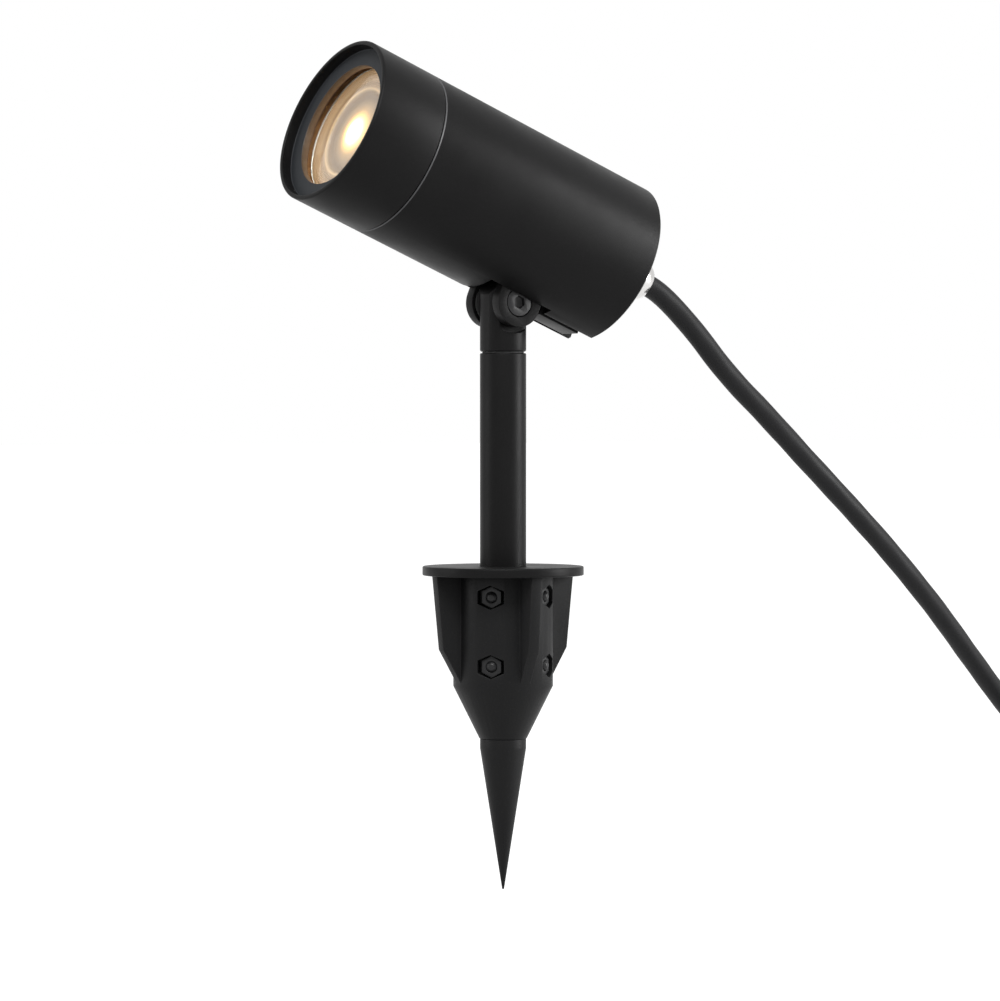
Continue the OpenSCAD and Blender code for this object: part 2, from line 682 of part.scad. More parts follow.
module collar_nuts() color([0.2, 0.2, 0.21]) at_nuts() translate([0, 0, nut_in]) difference() {
    cylinder(r = hex_r(nut_flats), h = nut_t4, $fn = 6);
    translate([0, 0, -over]) cylinder(d = nut_screw_d, h = nut_t4 + 2 * over);
}

// Set screws that run through the nuts and bear on the stem tube
module collar_screws() color([0.25, 0.25, 0.26]) at_nuts() translate([0, 0, stem_r + hair]) {
    cylinder(d = nut_screw_d - run, h = nut_in + nut_t4 - stem_r - hair);
    translate([0, 0, nut_in + nut_t4 - stem_r - hair])
        cylinder(d1 = nut_screw_d - run, d2 = nut_screw_d / 2, h = nut_screw_out);
}

module spike_point() color([0.06, 0.06, 0.06]) rotate_extrude() polygon([
    [0, floor_z], [point_flat_r, floor_z], [spike_d / 2, floor_z + point_len],
    [spike_d / 2, -collar_len - cone_len], [shank_r, -collar_len - cone_len],
    [shank_r, shank_up - tube_low], [0, shank_up - tube_low]]);

module gland_body() color([0.78, 0.78, 0.76]) in_head() difference() {
    union() {
        translate([0, 0, -head_rear - hex_t]) cylinder(r = hex_r(gland_flats), h = hex_t, $fn = 6);
        translate([0, 0, -head_rear - hex_t - thread_out])
            cylinder(d = gland_thread_d, h = thread_out + hex_t + thread_in);
    }
    translate([0, 0, -2 * head_rear]) cylinder(r = cord_hole_r, h = 2 * head_rear);
}

// Domed nut: a straight skirt, then a quarter round to the cord
module gland_nut() color([0.8, 0.8, 0.78]) in_head() rotate_extrude() polygon(concat(
    [[gland_thread_d / 2 + hair, -head_rear - hex_t - dome_gap],
     [gland_d / 2, -head_rear - hex_t - dome_gap]],
    [for (turn = [0:15:90]) [cord_hole_r + lip_w + (gland_d / 2 - cord_hole_r - lip_w) * cos(turn),
        -head_rear - dome_start() - (gland_len - dome_start()) * sin(turn)]],
    [[cord_hole_r, -head_rear - gland_len], [cord_hole_r, seal_z() - hair],
     [gland_thread_d / 2 + hair, seal_z() - hair]]));

// Where the dome begins behind the rear face, and the rear end of the seal ring
function dome_start() = hex_t + dome_gap + (gland_len - hex_t) * dome_start_share;
function seal_z() = -head_rear - hex_t - thread_out - hair - seal_t;

module gland_seal() color([0.1, 0.1, 0.1]) in_head()
    ring(gland_thread_d / 2 - hair, cord_d / 2, seal_z(), -head_rear - hex_t - thread_out - hair);

module gland_locknut() color([0.78, 0.78, 0.76]) in_head() translate([0, 0, rear_wall - head_rear])
    difference() {
    cylinder(r = hex_r(gland_flats), h = locknut_t, $fn = 6);
    translate([0, 0, -over]) cylinder(d = gland_thread_d, h = locknut_t + 2 * over);
}

// The cord's end inside the gland and the housing
module cord_entry() color([0.06, 0.06, 0.06]) in_head()
    translate([0, 0, -head_rear - gland_len]) cylinder(d = cord_d, h = head_rear + gland_len - sheath_end);

// A point of the head's axis in the shared frame
function axis_point(z) = [0, axis_rise * sin(rest_tilt) - z * cos(rest_tilt),
    pivot_h + axis_rise * cos(rest_tilt) + z * sin(rest_tilt)];

function unit(v) = v / norm(v);

// Direction of a path at one of its points
function heading(path, i) = let (last = len(path) - 1, after = max(i, 1), before = min(i, last - 1))
    unit(unit(path[before + 1] - path[before]) + unit(path[after] - path[after - 1]));

// Ring of points round a path's point, its first corner towards the side that is named
function path_ring(path, i, side, r, sides) =
    let (ahead = heading(path, i), across = unit(cross(ahead, side)), up = cross(across, ahead))
    [for (k = [0:sides - 1]) path[i] + r * (cos(360 * k / sides) * up + sin(360 * k / sides) * across)];

// One closed tube along a path
module tube(path, side, r, sides) polyhedron(
    points = [for (i = [0:len(path) - 1]) each path_ring(path, i, side, r, sides)],
    faces = concat(
        [for (k = [1:sides - 2]) [0, k, k + 1]],
        [for (k = [1:sides - 2]) [for (j = [0, k + 1, k]) (len(path) - 1) * sides + j]],
        [for (i = [0:len(path) - 2], k = [0:sides - 1])
            [i * sides + k, (i + 1) * sides + k, i * sides + (k + 1) % sides]],
        [for (i = [0:len(path) - 2], k = [0:sides - 1])
            [i * sides + (k + 1) % sides, (i + 1) * sides + k, (i + 1) * sides + (k + 1) % sides]]));

function cord_path() = concat(
    [axis_point(-head_rear - gland_len), axis_point(-head_rear - gland_len - cord_d * exit_share)],
    cord_route, [hank_path()[0]]);

module supply_cord() color([0.06, 0.06, 0.06]) tube(cord_path(), [1, 0, 0], cord_d / 2, cord_sides);

// Outer fold, length of one turn, and the stations of its path as shares of the turn
fold_out = fold_r + hank_pitch;
fold_arc = PI * (fold_r + fold_out) / 2;
hank_turn = 4 * hank_run + 2 * fold_arc;
function fold_stations(from) = [for (i = [1:fold_steps]) (from + fold_arc * i / fold_steps) / hank_turn];
hank_stations = concat([0, hank_run / hank_turn], fold_stations(hank_run),
    [(2 * hank_run + fold_arc) / hank_turn, (3 * hank_run + fold_arc) / hank_turn],
    fold_stations(3 * hank_run + fold_arc));
hank_turns = hank_layers + (hank_layers - 1) * climb_share;

// Layer of the hank after a number of turns, and the turns since that layer began
function hank_layer(t) = max(0, min(hank_layers - 1, floor(t / (1 + climb_share))));
function hank_part(t) = t - hank_layer(t) * (1 + climb_share);

// Radius of the folds and height of the cord after a number of turns
function hank_radius(t) = let (done = hank_layer(t) < hank_layers - 1 ? min(hank_part(t), 1) : hank_part(t))
    hank_layer(t) % 2 == 0 ? fold_out - hank_pitch * done : fold_r + hank_pitch * done;
function hank_height(t) = let (last = hank_layer(t) == hank_layers - 1,
    climb = last ? 0 : max(0, hank_part(t) - 1) / climb_share)
    hank_low + hank_pitch * (hank_layers - 1 - hank_layer(t) - climb);

// Place beside the hank's middle after a share of a turn: run, fold, run back, fold, run
function hank_place(q, r) = q < hank_run ? [-r, q]
    : q < hank_run + fold_arc ? fold_place(q - hank_run, r, 1)
    : q < 3 * hank_run + fold_arc ? [r, 2 * hank_run + fold_arc - q]
    : q < 3 * hank_run + 2 * fold_arc ? fold_place(q - 3 * hank_run - fold_arc, r, -1)
    : [-r, q - hank_turn];

// Place on the fold at the far end, 1, or the near end, -1, after a length of its arc
function fold_place(q, r, end) = end * [-r * cos(180 * q / fold_arc), hank_run + r * sin(180 * q / fold_arc)];
function hank_point(t) = let (place = hank_place((t - floor(t)) * hank_turn, hank_radius(t)))
    [hank_x + place[0], hank_y + place[1], hank_height(t)];
function hank_path() = concat([hank_point(-hank_run / hank_turn)],
    [for (turn = [0:hank_turns - 1], share = hank_stations) hank_point(turn + share)],
    [hank_point(hank_turns), hank_point(hank_turns + hank_run / hank_turn)]);

// Least distance between two stations of the hank that lie half a turn or more apart
function least_gap(path) = min([for (i = [0:len(path) - 1 - len(hank_stations) / 2],
    j = [i + len(hank_stations) / 2:len(path) - 1]) norm(path[i] - path[j])]) - cord_d;
echo(least_gap_of_the_hank = least_gap(hank_path()));

module cord_coil() color([0.06, 0.06, 0.06]) tube(hank_path(), [0, 0, 1], cord_d / 2, hank_sides);

// Strap round the hank's waist
module coil_tie() color([0.12, 0.12, 0.12]) translate([hank_x, hank_y, hank_low - cord_d / 2])
    difference() {
    translate([-tie_in() - tie_t, -tie_w / 2, -tie_t])
        cube([2 * tie_in() + 2 * tie_t, tie_w, tie_up() + 2 * tie_t]);
    translate([-tie_in(), -tie_w, 0]) cube([2 * tie_in(), 2 * tie_w, tie_up()]);
}

function tie_in() = fold_out + cord_d / 2 + tie_gap;
function tie_up() = (hank_layers - 1) * hank_pitch + cord_d + tie_gap;

function tail_path() = let (start = hank_path()[len(hank_path()) - 1], end = [plug_x, boot_y, plug_h])
    [for (p = tail_shares) [start[0] + p[1] * (end[0] - start[0]), start[1] + p[0] * (end[1] - start[1]),
        start[2] + p[1] * (end[2] - start[2])]];

module cord_tail() color([0.06, 0.06, 0.06]) tube(tail_path(), [1, 0, 0], cord_d / 2, cord_sides);

// Puts a shape that is drawn along the plug's axis into place: z runs from the boot's end to the pins
module at_plug() {
    translate([plug_x, boot_y, plug_h]) rotate([-90, 0, 0]) children();
}

module plug_body() color([0.07, 0.07, 0.07]) at_plug() difference() {
    rotate_extrude() polygon([[0, 0], [cord_d / 2 + boot_end_wall, 0], [plug_d * boot_share, boot_len],
        [plug_d * neck_share, boot_len], [plug_d / 2, boot_len + plug_len * shoulder_len_share],
        [plug_d / 2, boot_len + plug_len - plug_edge], [plug_d / 2 - plug_edge, boot_len + plug_len],
        [0, boot_len + plug_len]]);
    at_clips() translate([-clip_w / 2 - loose, 0, 0]) cube([clip_w + 2 * loose, plug_d, clip_len + over]);
}

// The two clips' seats: x across, y outwards, z towards the plug's face
module at_clips() for (turn = [0, 180]) rotate(turn)
    translate([0, plug_d / 2 - clip_sink, boot_len + plug_len - clip_len]) children();

module plug_pins() color([0.75, 0.75, 0.75]) at_plug() for (side = [-1, 1])
    translate([side * plug_pitch / 2, 0, boot_len + plug_len]) rotate_extrude()
        polygon([[0, 0], [plug_pin_d / 2, 0], [plug_pin_d / 2, plug_pin_len - pin_tip],
            [plug_pin_d / 2 - pin_tip, plug_pin_len], [0, plug_pin_len]]);

module plug_earth_clips() color([0.75, 0.75, 0.75]) at_plug() at_clips()
    translate([-clip_w / 2, 0, 0]) cube([clip_w, clip_t, clip_len]);

lamp_housing();
front_bezel();
glass_keeper();
front_glass();
glass_gasket();
housing_seal();
lamp_body();
lamp_lens();
lamp_reflector();
led_module();
lamp_driver();
lamp_pins();
lampholder();
holder_bracket();
holder_screws();
terminal_block();
terminal_screws();
earth_screw();
inner_wires();
clevis();
clevis_screws();
pivot_screw();
pivot_nut();
pivot_washers();
knuckle();
swivel_washer();
swivel_nut();
stem_tube();
stem_bush();
flange_disc();
spike_collar();
collar_nuts();
collar_screws();
spike_point();
gland_body();
gland_nut();
gland_seal();
gland_locknut();
cord_entry();
supply_cord();
cord_coil();
cord_tail();
coil_tie();
plug_body();
plug_pins();
plug_earth_clips();
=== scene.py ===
"""Landscape spotlight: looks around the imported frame.

Everything is in metres and in the frame's axes. The pieces' sizes are written in millimetres, as in the
source, and scaled by MM.
"""
import json
import math

import bmesh
import bpy
import numpy as np
from mathutils import Euler, Matrix, Vector

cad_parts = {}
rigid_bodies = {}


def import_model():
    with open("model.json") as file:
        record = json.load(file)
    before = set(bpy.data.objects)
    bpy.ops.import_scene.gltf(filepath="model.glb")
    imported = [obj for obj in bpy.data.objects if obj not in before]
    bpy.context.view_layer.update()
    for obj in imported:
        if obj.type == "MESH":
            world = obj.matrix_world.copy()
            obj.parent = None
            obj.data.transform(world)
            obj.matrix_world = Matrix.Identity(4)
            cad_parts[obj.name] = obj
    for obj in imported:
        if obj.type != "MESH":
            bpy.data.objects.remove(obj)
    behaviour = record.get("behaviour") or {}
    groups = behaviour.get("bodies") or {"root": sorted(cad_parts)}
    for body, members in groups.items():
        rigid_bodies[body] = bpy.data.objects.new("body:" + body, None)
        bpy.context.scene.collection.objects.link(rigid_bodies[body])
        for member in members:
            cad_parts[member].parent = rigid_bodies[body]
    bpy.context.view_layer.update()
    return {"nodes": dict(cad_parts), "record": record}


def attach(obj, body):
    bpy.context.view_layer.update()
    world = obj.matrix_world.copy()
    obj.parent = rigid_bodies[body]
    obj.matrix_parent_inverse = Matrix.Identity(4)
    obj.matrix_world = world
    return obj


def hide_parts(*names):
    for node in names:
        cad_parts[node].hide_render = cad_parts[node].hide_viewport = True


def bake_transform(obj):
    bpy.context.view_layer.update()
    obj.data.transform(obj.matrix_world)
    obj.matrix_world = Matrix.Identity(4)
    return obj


MM = 0.001

for item in list(bpy.data.objects):
    bpy.data.objects.remove(item)

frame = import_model()
NODES = frame["nodes"]
SLOT = {row["node"]: row["material_slot"] for row in frame["record"]["subparts"]}
BODY = {node: body for body, members in frame["record"]["behaviour"]["bodies"].items() for node in members}

# Frames of reference

PIVOT_H = 96.0
AXIS_RISE = 30.2
REST_TILT = math.radians(22.8)
HEAD = (
    Matrix.Translation((0, 0, PIVOT_H * MM))
    @ Matrix.Rotation(-REST_TILT, 4, "X")
    @ Matrix.Translation((0, 0, AXIS_RISE * MM))
    @ Matrix.Rotation(math.radians(90), 4, "X")
)
PLUG = Matrix.Translation((-0.012, 0.399, -0.0919)) @ Matrix.Rotation(math.radians(-90), 4, "X")
AXIS = (HEAD.to_3x3() @ Vector((0, 0, 1))).normalized()
FLOOR_Z = -110.9

# Camera

CAM_AZIMUTH = math.radians(57.8)
CAM_DISTANCE = 1.586
CAM_SIDE = 0.001085
CAM_HEIGHT = 0.06175
CAM_PITCH = math.radians(1.279)


def make_camera():
    """The photograph's view: 4500 pixels of focal length on a 1000 pixel frame."""
    data = bpy.data.cameras.new("camera")
    data.sensor_fit = "HORIZONTAL"
    data.sensor_width = 36
    data.lens = 162
    data.clip_start, data.clip_end = 0.05, 30
    camera = bpy.data.objects.new("camera", data)
    bpy.context.scene.collection.objects.link(camera)
    out = Vector((math.sin(CAM_AZIMUTH), -math.cos(CAM_AZIMUTH), 0))
    right = Vector((math.cos(CAM_AZIMUTH), math.sin(CAM_AZIMUTH), 0))
    camera.location = out * CAM_DISTANCE - right * CAM_SIDE + Vector((0, 0, CAM_HEIGHT))
    camera.rotation_euler = Euler((math.pi / 2 - CAM_PITCH, 0, CAM_AZIMUTH))
    bpy.context.scene.camera = camera


# Materials

_materials = {}


class Graph:
    """A material's node tree with short calls for what is used here."""

    def __init__(self, name):
        self.material = bpy.data.materials.new(name)
        self.material.use_nodes = True
        self.tree = self.material.node_tree
        self.tree.nodes.clear()
        self.out = self.node("ShaderNodeOutputMaterial")
        self.shader = self.node("ShaderNodeBsdfPrincipled")
        self.link(self.shader.outputs["BSDF"], self.out.inputs["Surface"])

    def node(self, kind, **values):
        made = self.tree.nodes.new(kind)
        for key, value in values.items():
            setattr(made, key, value)
        return made

    def link(self, source, target):
        self.tree.links.new(source, target)

    def set(self, **values):
        for key, value in values.items():
            self.shader.inputs[key.replace("_", " ")].default_value = value

    def coords(self):
        return self.node("ShaderNodeTexCoord").outputs["Object"]

    def noise(self, scale, detail=3.0, roughness=0.55):
        made = self.node("ShaderNodeTexNoise")
        made.inputs["Scale"].default_value = scale
        made.inputs["Detail"].default_value = detail
        made.inputs["Roughness"].default_value = roughness
        self.link(self.coords(), made.inputs["Vector"])
        return made.outputs["Fac"]

    def span(self, value, low, high, to_low, to_high, smooth=False):
        made = self.node("ShaderNodeMapRange")
        if smooth:
            made.interpolation_type = "SMOOTHSTEP"
        for name, number in (("From Min", low), ("From Max", high), ("To Min", to_low), ("To Max", to_high)):
            made.inputs[name].default_value = number
        self.link(value, made.inputs["Value"])
        return made.outputs["Result"]

    def math(self, operation, a, b):
        made = self.node("ShaderNodeMath", operation=operation)
        for index, value in enumerate((a, b)):
            if isinstance(value, (int, float)):
                made.inputs[index].default_value = value
            else:
                self.link(value, made.inputs[index])
        return made.outputs[0]

    def mix(self, factor, a, b):
        made = self.node("ShaderNodeMix", data_type="RGBA")
        for socket, value in ((made.inputs[0], factor), (made.inputs[6], a), (made.inputs[7], b)):
            if isinstance(value, (int, float)):
                socket.default_value = value
            elif isinstance(value, tuple):
                socket.default_value = (*value, 1)
            else:
                self.link(value, socket)
        return made.outputs[2]

    def bump(self, height, strength, distance, normal=None):
        made = self.node("ShaderNodeBump")
        made.inputs["Strength"].default_value = strength
        made.inputs["Distance"].default_value = distance
        self.link(height, made.inputs["Height"])
        if normal is not None:
            self.link(normal, made.inputs["Normal"])
        return made.outputs["Normal"]

    def soft_edges(self, radius):
        made = self.node("ShaderNodeBevel", samples=4)
        made.inputs["Radius"].default_value = radius
        return made.outputs["Normal"]

    def edge_mask(self, radius, gain):
        """Near one on an outer or inner edge and zero on plain faces."""
        dot = self.node("ShaderNodeVectorMath", operation="DOT_PRODUCT")
        self.link(self.soft_edges(radius), dot.inputs[0])
        self.link(self.node("ShaderNodeNewGeometry").outputs["Normal"], dot.inputs[1])
        return self.span(dot.outputs["Value"], 1.0 - 1.0 / gain, 1.0, 1.0, 0.0)


def lighter(colour, gain, add=0.0):
    """A colour times gain plus add, at most white."""
    return tuple(min(1.0, c * gain + add) for c in colour)


def coat(name, colour, rough, specular, grain, depth, edge=0.0003, edge_wear_and_highlight=1.8, mottle=0.12):
    """A fine-grained coating: base colour, roughness, specular level, grain size and depth in metres. Its
    edges are painted lighter, partly as wear and partly as a painted highlight.
    """
    g = Graph(name)
    fine = g.noise(1 / grain, 4, 0.6)
    broad = g.noise(70, 3, 0.5)
    mottled = g.mix(broad, lighter(colour, 1 - mottle), lighter(colour, 1 + mottle))
    speck = g.mix(g.span(fine, 0.56, 0.72, 0.0, 0.7, True), mottled, lighter(colour, 1.7, 0.004))
    # Every edge lighter than the faces: partly edge wear, partly a painted highlight along the edges.
    worn_and_lit_edges = g.mix(g.edge_mask(edge * 1.5, 5.0), speck, lighter(colour, edge_wear_and_highlight, 0.003))
    g.link(worn_and_lit_edges, g.shader.inputs["Base Color"])
    g.link(g.span(broad, 0.3, 0.7, rough - 0.04, rough + 0.05), g.shader.inputs["Roughness"])
    g.link(g.bump(fine, 0.55, depth, g.soft_edges(edge)), g.shader.inputs["Normal"])
    g.set(Specular_IOR_Level=specular)
    return g.material


def metal(name, colour, rough):
    """A bare or plated metal with fine machining marks."""
    scratch, edge, mottle = 0.00006, 0.0002, 0.08
    g = Graph(name)
    fine = g.noise(1 / scratch, 3, 0.6)
    broad = g.noise(120, 3, 0.5)
    g.link(g.mix(broad, lighter(colour, 1 - mottle), colour), g.shader.inputs["Base Color"])
    g.link(g.span(fine, 0.3, 0.7, rough * 0.8, rough * 1.25), g.shader.inputs["Roughness"])
    g.link(g.bump(fine, 0.25, 0.000004, g.soft_edges(edge)), g.shader.inputs["Normal"])
    g.set(Metallic=1.0)
    return g.material


def plastic(name, colour, rough, specular=0.4, grain=0.0004, depth=0.00001, edge=0.0003):
    """Moulded plastic or rubber with a faint grain."""
    g = Graph(name)
    fine = g.noise(1 / grain, 3, 0.55)
    broad = g.noise(55, 2, 0.5)
    g.link(g.mix(broad, lighter(colour, 0.88), lighter(colour, 1.1)), g.shader.inputs["Base Color"])
    g.link(g.span(broad, 0.3, 0.7, rough - 0.05, rough + 0.05), g.shader.inputs["Roughness"])
    g.link(g.bump(fine, 0.5, depth, g.soft_edges(edge)), g.shader.inputs["Normal"])
    g.set(Specular_IOR_Level=specular)
    return g.material


def see_through(g):
    """Lets light through a clear piece without caustics: its shadow is nearly clear."""
    path = g.node("ShaderNodeLightPath")
    clear = g.node("ShaderNodeBsdfTransparent")
    clear.inputs["Color"].default_value = (0.93, 0.95, 0.95, 1)
    mixed = g.node("ShaderNodeMixShader")
    g.link(path.outputs["Is Shadow Ray"], mixed.inputs[0])
    g.link(g.shader.outputs["BSDF"], mixed.inputs[1])
    g.link(clear.outputs["BSDF"], mixed.inputs[2])
    g.link(mixed.outputs["Shader"], g.out.inputs["Surface"])


def glass(name):
    """Clear glass with faint smudges."""
    g = Graph(name)
    smudge = g.noise(260, 4, 0.6)
    g.link(g.span(smudge, 0.45, 0.8, 0.0, 0.03), g.shader.inputs["Roughness"])
    g.set(Base_Color=(0.97, 0.99, 0.985, 1), Transmission_Weight=1.0, IOR=1.38, Specular_IOR_Level=0.3)
    see_through(g)
    return g.material


def head_cylinder(g):
    """Distance from the head's axis and place along it, in millimetres."""
    offset = g.node("ShaderNodeVectorMath", operation="SUBTRACT")
    g.link(g.coords(), offset.inputs[0])
    offset.inputs[1].default_value = HEAD.translation
    along = g.node("ShaderNodeVectorMath", operation="DOT_PRODUCT")
    g.link(offset.outputs[0], along.inputs[0])
    along.inputs[1].default_value = AXIS
    across = g.node("ShaderNodeVectorMath", operation="CROSS_PRODUCT")
    g.link(offset.outputs[0], across.inputs[0])
    across.inputs[1].default_value = AXIS
    size = g.node("ShaderNodeVectorMath", operation="LENGTH")
    g.link(across.outputs[0], size.inputs[0])
    return (g.math("MULTIPLY", size.outputs["Value"], 1 / MM),
            g.math("MULTIPLY", along.outputs["Value"], 1 / MM))


def ramp(g, value, low, high, stops, stepped=False):
    """A colour ramp over value from low to high; stops are (value, colour)."""
    made = g.node("ShaderNodeValToRGB")
    if stepped:
        made.color_ramp.interpolation = "CONSTANT"
    elements = made.color_ramp.elements
    while len(elements) > 1:
        elements.remove(elements[-1])
    for index, (place, colour) in enumerate(stops):
        at = (place - low) / (high - low)
        element = elements[0] if index == 0 else elements.new(at)
        element.position = at
        element.color = (*colour, 1)
    g.link(g.span(value, low, high, 0.0, 1.0), made.inputs["Fac"])
    return made.outputs["Color"]


# The lens's colours by distance from its middle, in millimetres
LENS_STOPS = [
    (0.0, (1.0, 0.97, 0.84)), (3.4, (1.0, 0.94, 0.72)), (4.8, (1.0, 0.78, 0.36)), (6.4, (0.86, 0.50, 0.16)),
    (8.4, (0.50, 0.30, 0.13)), (10.6, (0.30, 0.185, 0.09)), (13.2, (0.15, 0.085, 0.036)),
    (15.2, (0.21, 0.12, 0.05)), (16.1, (0.62, 0.42, 0.22)), (16.9, (0.36, 0.22, 0.11)),
    (18.4, (0.30, 0.185, 0.095)), (19.2, (0.42, 0.27, 0.14)), (21.5, (0.38, 0.235, 0.12)),
    (23.6, (0.30, 0.175, 0.075)),
]


def lens_material():
    """The lamp's warm lens: a glowing centre, a brown trough and a beige ringed rim."""
    g = Graph("lamp_lens")
    radius, _ = head_cylinder(g)
    glow = ramp(g, radius, 0.0, 24.0, LENS_STOPS)
    cloud = g.noise(240, 3, 0.5)
    glow = g.mix(g.span(cloud, 0.35, 0.7, 0.0, 0.16), glow, (0.24, 0.20, 0.19))
    g.link(glow, g.shader.inputs["Emission Color"])
    g.link(g.span(radius, 2.0, 9.0, 2.6, 0.86, True), g.shader.inputs["Emission Strength"])
    g.link(g.mix(0.75, glow, (0.05, 0.04, 0.03)), g.shader.inputs["Base Color"])
    g.set(Roughness=0.3, Specular_IOR_Level=0.25)
    return g.material


def glow_wall():
    """The wall of the light opening, with the lamp's warm light from below painted on it as a glow."""
    g = Graph("opening_painted_glow")
    _, along = head_cylinder(g)
    depth = g.span(along, 76.0, 84.6, 1.0, 0.0)
    cloud = g.noise(420, 4, 0.65)
    stops = [(0.0, (0.02, 0.013, 0.008)), (0.1, (0.07, 0.045, 0.024)),
             (0.3, (0.15, 0.082, 0.036)), (1.0, (0.13, 0.055, 0.014))]
    # Painted lamp glow, stronger deeper in the opening towards the lamp.
    glow = ramp(g, depth, 0.0, 1.0, stops)
    # Darker blotches at random in the painted glow.
    mottled_glow = g.mix(g.span(cloud, 0.3, 0.7, 0.0, 0.6), glow, (0.05, 0.02, 0.007))
    g.link(mottled_glow, g.shader.inputs["Emission Color"])
    g.set(Base_Color=(0.03, 0.02, 0.012, 1), Roughness=0.4, Specular_IOR_Level=0.25, Emission_Strength=1.0)
    return g.material


def cord_material():
    """Matte black rubber sheath."""
    g = Graph("cord_rubber")
    fine = g.noise(2600, 3, 0.6)
    broad = g.noise(38, 3, 0.5)
    g.link(g.mix(broad, (0.0052, 0.0052, 0.0056), (0.0085, 0.0085, 0.009)), g.shader.inputs["Base Color"])
    g.link(g.span(broad, 0.3, 0.7, 0.46, 0.58), g.shader.inputs["Roughness"])
    g.link(g.bump(fine, 0.4, 0.00002), g.shader.inputs["Normal"])
    g.set(Specular_IOR_Level=0.14)
    return g.material


def strap_material():
    """Woven hook-and-loop strap: a close cross weave."""
    g = Graph("strap_weave")
    waves = []
    for direction in ("X", "Y"):
        wave = g.node("ShaderNodeTexWave", wave_type="BANDS", bands_direction=direction)
        wave.inputs["Scale"].default_value = 420
        wave.inputs["Distortion"].default_value = 0.6
        g.link(g.coords(), wave.inputs["Vector"])
        waves.append(wave.outputs["Fac"])
    weave = g.math("MULTIPLY", waves[0], waves[1])
    g.link(g.mix(weave, (0.006, 0.006, 0.0065), (0.022, 0.022, 0.023)), g.shader.inputs["Base Color"])
    g.link(g.bump(weave, 0.7, 0.00012), g.shader.inputs["Normal"])
    g.set(Roughness=0.85, Specular_IOR_Level=0.15, Sheen_Weight=0.12)
    return g.material


def wire_material():
    """Three sleeves told apart by their place across the head."""
    g = Graph("wire_sleeve")
    split = g.node("ShaderNodeSeparateXYZ")
    g.link(g.coords(), split.inputs[0])
    across = g.math("MULTIPLY", split.outputs["X"], 1 / MM)
    sleeves = [(-8.0, (0.16, 0.07, 0.03)), (-1.3, (0.05, 0.16, 0.35)), (1.2, (0.35, 0.40, 0.05))]
    colour = ramp(g, across, -8.0, 8.0, sleeves, stepped=True)
    g.link(colour, g.shader.inputs["Base Color"])
    g.link(g.bump(g.noise(900), 0.2, 0.00002), g.shader.inputs["Normal"])
    g.set(Roughness=0.4)
    return g.material


def make_materials():
    """One material for each slot of the record, and a few of the scene's own."""
    m = _materials
    m["black_coat"] = coat("black_coat", (0.0036, 0.0035, 0.0036), 0.42, 0.09, 0.00034, 0.00006)
    m["ring_coat"] = coat("ring_coat", (0.012, 0.0135, 0.0155), 0.6, 0.2, 0.0003, 0.00003)
    m["opening_painted_glow"] = glow_wall()
    # Lighter coat for the housing's front edge: a painted highlight along the seam.
    m["seam_painted_highlight"] = coat("seam_painted_highlight", (0.045, 0.045, 0.047), 0.42, 0.4, 0.0003, 0.00003)
    # Brown for the pane's rim: painted warm light from the lamp on what shows through it.
    m["glass_rim_painted_warm_light"] = plastic("glass_rim_painted_warm_light", (0.16, 0.075, 0.028), 0.5, 0.1)
    m["anodised_black"] = coat("anodised_black", (0.01, 0.01, 0.011), 0.34, 0.3, 0.0002, 0.00001)
    m["clear_glass"] = glass("clear_glass")
    # Warm brown on the seals: painted lamp light on the gasket's inner wall, over rubber that is black.
    m["seal_rubber"] = plastic("seal_rubber", (0.09, 0.045, 0.02), 0.6)
    m["lamp_shell"] = plastic("lamp_shell", (0.72, 0.70, 0.64), 0.35)
    m["lamp_lens"] = lens_material()
    m["lamp_reflector"] = metal("lamp_reflector", (0.86, 0.80, 0.68), 0.16)
    m["led_board"] = metal("led_board", (0.72, 0.66, 0.36), 0.4)
    m["circuit_board"] = plastic("circuit_board", (0.03, 0.14, 0.05), 0.45)
    m["nickel"] = metal("nickel", (0.62, 0.61, 0.60), 0.16)
    m["ceramic"] = plastic("ceramic", (0.74, 0.71, 0.63), 0.7, 0.25)
    m["zinc_steel"] = metal("zinc_steel", (0.62, 0.63, 0.65), 0.34)
    m["terminal_plastic"] = plastic("terminal_plastic", (0.72, 0.71, 0.66), 0.5)
    m["brass_parts"] = metal("brass_parts", (0.72, 0.52, 0.22), 0.28)
    m["wire_sleeve"] = wire_material()
    m["black_steel"] = coat("black_steel", (0.008, 0.008, 0.0085), 0.38, 0.25, 0.00025, 0.00002)
    m["friction_fibre"] = plastic("friction_fibre", (0.04, 0.04, 0.04), 0.8)
    m["black_plastic"] = coat("black_plastic", (0.0045, 0.0045, 0.0047), 0.48, 0.12, 0.0005, 0.00005,
                              edge=0.0004)
    m["dark_steel"] = coat("dark_steel", (0.007, 0.007, 0.0075), 0.38, 0.25, 0.0002, 0.00002)
    m["cord_rubber"] = cord_material()
    m["plug_rubber"] = plastic("plug_rubber", (0.012, 0.012, 0.0125), 0.55, 0.25, 0.0005, 0.00004)
    m["strap_weave"] = strap_material()


# Mesh helpers


def place(name, mesh, matrix=None):
    """Links a mesh as an object whose own place is the shared frame's origin."""
    if matrix is not None:
        mesh.transform(matrix)
    obj = bpy.data.objects.new(name, mesh)
    bpy.context.scene.collection.objects.link(obj)
    return obj


def mesh_of(name, bm):
    """A mesh from a bmesh, which is freed."""
    mesh = bpy.data.meshes.new(name)
    bm.to_mesh(mesh)
    bm.free()
    return mesh


